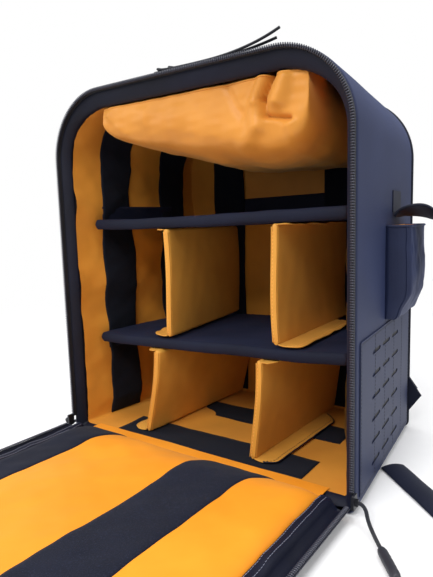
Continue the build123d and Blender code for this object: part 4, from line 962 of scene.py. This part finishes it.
# side pocket: the (out, up) section carried along the side, falling to the skin at both ends as a quarter
# circle
def makePockets():
    section = smoothLine([(0.3, 185.6, 0), (8, 185.8, 0), (14.5, 188, 0), (20, 200, 0), (25, 211, 0),
        (26.6, 219, 0), (27.4, 240, 0), (26.8, 270, 0), (24.8, 294.5, 0)], 8)[:, :2]
    a = dense(50)[:, None]
    d = np.minimum(a, 1 - a) * pocket["length"]
    rise = np.sqrt(np.clip(1 - (1 - np.clip(d / pocket["edge"], 0, 1)) ** 2, 0, 1))
    for sign, name in ((1, "right"), (-1, "left")):
        along = pocket["start"] + a * pocket["length"] + 0 * section[None, :, 0]
        out = 0.3 + section[None, :, 0] * rise
        up = section[None, :, 1] + 0 * a
        flat = np.stack([along, up, 0 * up], -1)
        out = out + (0.9 * swell(flat, 48, 131) + 0.4 * swell(flat, 18,
            132) + 1.2 * np.sin(a * math.pi)) * rise
        grid = sidePoint(along, up, np.maximum(out, 0.3), sign)
        gridPiece(f"side_pocket_shell_{name}", grid, packCloth, flip=sign < 0, thick=1.4,
            replaces=f"side_pocket_{name}", slotName="shell_fabric")
        inner = sidePoint(along * 0.96 + (pocket["start"] + pocket["length"] / 2) * 0.04,
            up + 1.5 * (1 - (up - pocket["foot"]) / 110), np.maximum(out - 2.6, 0.3), sign)
        gridPiece(f"side_pocket_lining_{name}", inner, amberInsideShaded, flip=sign > 0, slotName="lining_fabric")
        wall = sidePoint(pocket["start"] + 3 + np.linspace(0, pocket["length"] - 6, 12)[:, None],
            np.linspace(188, 295, 12)[None, :], 0.9, sign)
        gridPiece(f"side_pocket_back_{name}", wall, amberInsideShaded, flip=sign > 0, slotName="lining_fabric")
        welt(f"pocket_mouth_{name}", grid[:, -1] + np.array([0, 0, -0.6]), 1.5, packCloth,
            slotName="shell_fabric")
        for e in (6, -7):
            welt(f"pocket_seam_{name}_{'a' if e > 0 else 'b'}", grid[e, 6:], 0.9, packCloth, up=(0, 1, 0),
                slotName="shell_fabric")
        # flap strap: webbing folded double, arching out from its root and down over the pocket
        line = smoothLine([(2.6, 306, 0), (9, 309.5, 0), (22, 311.5, 0), (36, 310, 0), (46, 303, 0),
            (49.6, 290, 0), (49.4, 262, 0), (48.6, 229, 0)], 10)
        path = sidePoint(pocket["strapAt"], line[:, 1], line[:, 0], sign)
        side = sidePoint(1.0, 0, 0, sign) - sidePoint(0.0, 0, 0, sign)
        twist = np.sin(np.linspace(0, math.pi, len(path)))[:, None] * np.array([[0.0, 0.0, -0.42]])
        ribbon(f"flap_strap_{name}", path, side * -sign - twist * sign, pocket["strapWide"], 3.0,
            ribWebbing, f"flap_{name}", bow=0.3, fray=0.25, replaces=f"pocket_flap_{name}",
            slotName="webbing")


makePockets()
print("pockets made")


# slotted side panels keep their cut shape; lines of stitches run down between the columns and round the
# edge
def makePanelStitches():
    shape, faces = barShape(3.0, 0.7, 0.5)
    for sign, name in ((1, "right"), (-1, "left")):
        lines = [[(a, 16.5), (a, 177.5)] for a in (14.5, 70.0, 116.0, 162.0, 208.0, 252.5)] + [[(14.5,
            177.5), (252.5, 177.5)], [(14.5, 16.5), (252.5, 16.5)]]
        spots = [evenly(sidePoint([p[0] for p in line], [p[1] for p in line], 1.6, sign),
            4.2) for line in lines]
        places = np.vstack([s[0] for s in spots])
        way = np.vstack([s[1] for s in spots])
        up = np.broadcast_to(np.append(outX * [sign, 1], 0), way.shape)
        manyPieces(f"panel_stitches_{name}", shape, faces, places, way, up, darkThread)
        # a dark sheet of zipper tape cloth behind each row of slots: painted shade for the hollows of the
        # slots
        for row in range(6):
            high = 32 + 25.4 * row
            grid = sidePoint(np.linspace(74, 204, 40)[:, None], high + np.linspace(-2.7, 7.2, 5)[None, :],
                0.55, sign)
            gridPiece(f"slot_shade_sheet_{name}_{row + 1}", grid, zipTape, flip=sign > 0, slotName="webbing")


makePanelStitches()

harness = {"padPly": 13.0, "skin": backY + 0.3, "strapPly": 11.5, "webWide": 25.0, "spineWide": 20.0,
    "yoke": (-100, 100, 388, 412), "pads": {"left": (-130, -18, 150, 382), "right": (18, 130, 150, 382),
    "lumbar": (-122, 122, 46, 138)}}


# harness: padded boards on the back, straps as wide padded ribbons with bound edges, webbing below them
def makeHarness():
    y = harness["skin"] + harness["padPly"] / 2
    box = lambda x0, x1, z0, z1, yy: [(x1, yy, z0), (x0, yy, z0), (x0, yy, z1), (x1, yy, z1)]
    for name, span in harness["pads"].items():
        paddedBoard(f"back_pad_{name}", box(*span, y), harness["padPly"], 9, spacerMesh, "case",
            counts=(44, 60), crown=1.0, round=0.12, wrinkle=0.4, wrinkleSize=60, seed=141,
            replaces="back_pads", slotName="mesh_fabric")
    paddedBoard("yoke_pad", box(*harness["yoke"], y), harness["padPly"], 6, packCloth, "case", counts=(60,
        20), round=0.1, wrinkle=0.3, seed=142, replaces="strap_yoke", slotName="mesh_fabric")
    yy = y + harness["padPly"] / 2 + 2 + 6
    for sign, name in ((1, "right"), (-1, "left")):
        line = smoothLine([(62, yy - 0.5, 397), (65, yy, 350), (71, yy, 295), (84, yy, 250),
            (101, yy, 205), (112, yy, 177)], 14)
        line[:, 0] *= sign
        wide = np.interp(np.linspace(0, 1, len(line)), [0, 0.04, 0.5, 0.96, 1], [52, 62, 62, 46, 38])
        ribbon(f"shoulder_pad_{name}", line, (1.0, 0, 0), wide, harness["strapPly"], spacerMesh,
            replaces=f"shoulder_strap_{name}", slotName="mesh_fabric")
        tangent = np.gradient(line, axis=0)
        tangent /= np.linalg.norm(tangent, axis=1)[:, None]
        side = np.cross(tangent, [0, 1.0, 0])
        for e in (-1, 1):
            welt(f"shoulder_binding_{name}_{'a' if e > 0 else 'b'}",
                (line + side * e * (wide / 2 - 0.8)[:, None])[2:-2], 2.0, rimCloth, up=(0, 1, 0),
                slotName="webbing")
        web = smoothLine([(113 * sign, yy + 1, 165), (116 * sign, yy, 145), (150 * sign, yy - 7, 105),
            (196 * sign, backY + 3.6, 50)], 12)
        ribbon(f"lower_web_{name}", web, np.cross(np.gradient(web, axis=0), [0, 1.0, 0]),
            harness["webWide"], 1.8, ribWebbing, replaces="strap_webs", slotName="webbing")
        spine = smoothLine([(70 * sign, yy + 6.3, 392), (72 * sign, yy + 6.3, 330), (84 * sign, yy + 6.3,
            262), (104 * sign, yy + 6.3, 202)], 12)
        ribbon(f"shoulder_web_{name}", spine, (1.0, 0, 0), harness["spineWide"], 1.4, ribWebbing,
            slotName="webbing")
    y = backY + 4.6
    handle = smoothLine([(-48, y, 451), (-48, y, 440), (-44, y, 427), (-30, y, 420.5), (0, y, 419),
        (30, y, 420.5), (44, y, 427), (48, y, 440), (48, y, 451)], 9)
    across = np.cross(np.gradient(handle, axis=0), [0, 1.0, 0])
    wide = np.interp(np.linspace(0, 1, len(handle)), [0, 0.2, 0.35, 0.65, 0.8, 1], [19, 17, 14, 14, 17, 19])
    ribbon("handle_web", handle, across, wide, 4.0, ribWebbing, "handle", replaces="grab_handle",
        slotName="webbing")


makeHarness()
print("harness made")

baseStrap = {"wide": 30.0, "bow": 3.0, "root": (204.5, 138.0), "clear": 15.2,
             "runs": {"right": (1, (106.0, -106.0)), "left": (-1, (90.0, 84.0))}}


# straps on the ground from under each side, creased along their middle: the section is a low arch
def makeBaseStraps():
    for name, (sign, run) in baseStrap["runs"].items():
        length = math.hypot(*run)
        way = np.array([sign * run[0], run[1], 0]) / length
        start = np.array([sign * baseStrap["root"][0], frontY + baseStrap["root"][1], 2.0])
        t = np.linspace(baseStrap["clear"], length - 1, 40)[:, None]
        path = start + way * t
        path[:, 2] = 1.3 + 0.5 * np.sin(t[:, 0] / 19) ** 2
        side = np.array([-way[1], way[0], 0])
        ribbon(f"ground_strap_{name}", path, side, baseStrap["wide"], 1.9, ribWebbing, bow=baseStrap["bow"],
               replaces=f"base_strap_{name}", slotName="webbing")


makeBaseStraps()


# a free cord: a smooth curve pulled towards its control points, bevelled to its diameter
def cordPiece(name, points, diameter, material, body, node):
    curve = bpy.data.curves.new(name, "CURVE")
    curve.dimensions = "3D"
    curve.bevel_depth = diameter / 2 * mm
    curve.bevel_resolution = 3
    curve.resolution_u = 16
    curve.use_fill_caps = True
    spline = curve.splines.new("NURBS")
    spline.points.add(len(points) - 1)
    for point, place in zip(spline.points, points):
        point.co = (place[0] * mm, place[1] * mm, place[2] * mm, 1.0)
    spline.order_u = 3
    spline.use_endpoint_u = True
    curve.materials.append(material)
    piece = bpy.data.objects.new(name, curve)
    scene.collection.objects.link(piece)
    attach(piece, body)
    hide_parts(node)
    return piece


pulls = {"cord": 4.0, "gripLong": 40.0, "routes": {1: ((0, 0, 20), (7, 0, 20), (14, -10, 5.2),
    (36, -40, 5.2)), -1: ((0, 0, 20), (8, 0, 20), (13, 10, 5.2), (20, 48, 5.2))}}


# main pulls: cord from the slider's lug to a grip, whose radius swells in the middle and closes at both
# ends
def makePulls():
    for sign, name in ((1, "right"), (-1, "left")):
        lug = (216 + 0.35 + 2.2 + 3.0 + 0.1, zipY)
        route = [(sign * (lug[0] + p[0]), lug[1] + p[1], p[2]) for p in pulls["routes"][sign]]
        cord = cordPiece(f"pull_line_{name}", route, pulls["cord"], braidedCord, f"zip_{name}",
            f"pull_cord_{name}")
        end, before = np.array(route[-1]), np.array(route[-2])
        way = (end - before) / np.linalg.norm(end - before)
        t = np.concatenate([[0.0], dense(24), [1.0]])
        radius = np.interp(t, [0, 0.02, 0.12, 0.5, 0.88, 0.98, 1], [2.6, 3.9, 4.7, 4.75, 4.7, 4.0, 2.8])
        radius[0] = radius[-1] = 0.01
        radius[5:-5] += 0.14 * np.sin(t[5:-5] * 60)
        side = np.cross(way, [0, 0, 1.0])
        side /= np.linalg.norm(side)
        lift = np.cross(side, way)
        angle = np.linspace(0, 2 * math.pi, 20, endpoint=False)
        axis = end + way * (0.1 + t[:, None] * pulls["gripLong"])
        grid = axis[:, None] + radius[:, None, None] * (np.cos(angle)[None, :, None] * side
            + np.sin(angle)[None, :, None] * lift)
        grid[..., 2] = np.maximum(grid[..., 2], 0.4)
        grip = gridPiece(f"grip_{name}", grid, shrinkTube, f"zip_{name}", closeV=True, flip=True,
            replaces=f"pull_grip_{name}", slotName="grip_rubber")


makePulls()

topCords = {"left": (-34.0, -131.6, -132.6, 96.0, 37.0, 1.5, 15.0), "right": (-18.0, -128.66, -129.0,
    92.0, 34.0, 4.0, 8.0), "thick": 3.0}


def makeTopCords():
    lugZ = caseTop - case["topDrop"] * 14 / depth + 0.1 + 1.0 + 2.6 + 0.35 + 2.2 + 1.5 + 0.2
    laneZ = caseTop + 1.5 + 1.0
    for name, length in (("left", 0.176), ("right", 0.148)):
        x, first, lane, run, tail, back, rise = topCords[name]
        route = [(x, frontY + 14 - 1.7, lugZ), (x, first, lugZ), (x + 16, lane, laneZ), (run, lane,
            laneZ), (run + tail, lane + back, laneZ + rise)]
        cord = cordPiece(f"top_line_{name}", route, topCords["thick"], braidedCord, f"top_zip_{name}",
            f"top_cord_{name}")


makeTopCords()


# teeth of the top zipper, laid along x on its tape
def makeTopTeeth():
    x = np.arange(-121, 121.1, zipper["pitch"])
    z = caseTop - case["topDrop"] * 14 / depth + 0.1 + 1.0 + 1.2
    places = np.column_stack([x, np.full(len(x), frontY + 14.0), np.full(len(x), z)])
    shape, faces = barShape(5.2, 1.9, 2.6)
    way = np.broadcast_to([0, 1.0, 0], places.shape)
    manyPieces("top_teeth", shape, faces, places, way, np.broadcast_to([0, 0, 1.0], places.shape),
        coilPlastic)
    y = frontY + 14 + np.array([-8.2, -7.6, -4, 0, 4, 7.6, 8.2])
    lift = np.array([-0.5, 0.6, 1.0, 1.1, 1.0, 0.6, -0.5])
    top = caseTop - case["topDrop"] * (y - frontY) / depth + lift + 0.4
    xx = np.linspace(-127, 127, 60)
    grid = np.stack(np.broadcast_arrays(xx[:, None], y[None, :], top[None, :]), -1)
    gridPiece("top_tape", grid, zipTape, flip=False, replaces="top_zip", slotName="zip_teeth")


makeTopTeeth()
print("cords and top zipper made")

kept = {"molle_panel_right": cutLaminate, "molle_panel_left": cutLaminate, "sewn_tabs": ribWebbing,
    "ladder_locks": acetal, "base_buckles": acetal, "slider_right": paintedZinc,
    "slider_left": paintedZinc, "top_slider_right": paintedZinc, "top_slider_left": paintedZinc,
    "foam_base": closedFoam, "foam_right": closedFoam, "foam_left": closedFoam, "foam_top": closedFoam,
    "foam_back": closedFoam, "frame_sheet": acetal, "frame_stays": millAlloy}
for name, material in kept.items():
    mesh = nodes[name].data
    mesh.materials.clear()
    mesh.materials.append(material)
print("kept pieces finished")

floorFinish = mouldedFinish("pale studio floor", "#f4f4f5", "#f7f7f8", 0.8, grainDepth=0.0)
floorTree = floorFinish.node_tree
floorPlace = addNode(floorTree, "ShaderNodeTexCoord", {})
floorReach = addNode(floorTree, "ShaderNodeVectorMath", {"Vector": floorPlace.outputs["Object"]},
    operation="LENGTH")
floorFade = addNode(floorTree, "ShaderNodeMapRange", {"Value": floorReach.outputs["Value"],
    "From Min": 0.45, "From Max": 1.5, "To Min": 1.0, "To Max": 0.0}, interpolation_type="SMOOTHSTEP")
floorTree.links.new(floorFade.outputs["Result"], floorTree.nodes["Principled BSDF"].inputs["Alpha"])
ground = bpy.data.meshes.new("floor")
ground.from_pydata([(-6, -6, 0), (6, -6, 0), (6, 6, 0), (-6, 6, 0)], [], [(0, 1, 2, 3)])
ground.materials.append(floorFinish)
floorPiece = bpy.data.objects.new("floor", ground)
scene.collection.objects.link(floorPiece)

studio = {"world": 0.5, "lamps": (("key", (0.2, -2.2, 2.1), (0.0, -0.1, 0.2), 1.4, 54.0),
    ("fill", (2.4, -0.4, 2.0), (0.1, 0.0, 0.3), 1.4, 26.0), ("side", (-2.0, -1.6, 1.4), (0.0, -0.2, 0.2),
    1.6, 18.0), ("top", (0.0, 0.1, 2.8), (0.0, -0.1, 0.0), 2.2, 42.0))}
world = bpy.data.worlds.new("studio")
scene.world = world
world.use_nodes = True
background = world.node_tree.nodes["Background"]
background.inputs["Color"].default_value = hexColour("#ffffff")
seen = addNode(world.node_tree, "ShaderNodeLightPath")
glow = addNode(world.node_tree, "ShaderNodeMapRange", {"Value": seen.outputs["Is Camera Ray"],
    "To Min": studio["world"], "To Max": 1.0})
world.node_tree.links.new(glow.outputs["Result"], background.inputs["Strength"])
for name, place, aim, size, power in studio["lamps"]:
    lamp = bpy.data.lights.new(name, "AREA")
    lamp.shape = "DISK"
    lamp.size = size
    lamp.energy = power
    thing = bpy.data.objects.new(name, lamp)
    scene.collection.objects.link(thing)
    gaze = np.array(aim) - np.array(place)
    thing.location = place
    back = -gaze / np.linalg.norm(gaze)
    right = np.cross([0, 0, 1.0], back)
    right /= np.linalg.norm(right)
    thing.matrix_world = Matrix.Translation(place) @ Matrix(np.column_stack([right, np.cross(back, right),
        back]).tolist()).to_4x4()

# camera from its place, turn, tilt and roll
view = {"place": (0.3987, -0.6284, 0.30465), "turn": 35.36, "tilt": 7.2, "roll": -1.625, "focal": 527.3,
    "sensor": 36.0, "high": 577.0}
turn, tilt, roll = (math.radians(view[k]) for k in ("turn", "tilt", "roll"))
ahead = np.array([-math.sin(turn) * math.cos(tilt), math.cos(turn) * math.cos(tilt), -math.sin(tilt)])
right = np.array([math.cos(turn), math.sin(turn), 0.0])
up = np.cross(right, ahead)
rolledRight = right * math.cos(roll) + up * math.sin(roll)
rolledUp = -right * math.sin(roll) + up * math.cos(roll)
lens = bpy.data.cameras.new("camera")
lens.sensor_fit = "VERTICAL"
lens.sensor_height = 36.0
lens.lens = view["focal"] * view["sensor"] / view["high"]
lens.clip_start = 0.02
cameraPiece = bpy.data.objects.new("camera", lens)
scene.collection.objects.link(cameraPiece)
cameraPiece.matrix_world = Matrix.Translation(view["place"]) @ Matrix(np.column_stack([rolledRight,
    rolledUp, -ahead]).tolist()).to_4x4()
scene.camera = cameraPiece
scene.view_settings.view_transform = "Standard"
print("studio made")
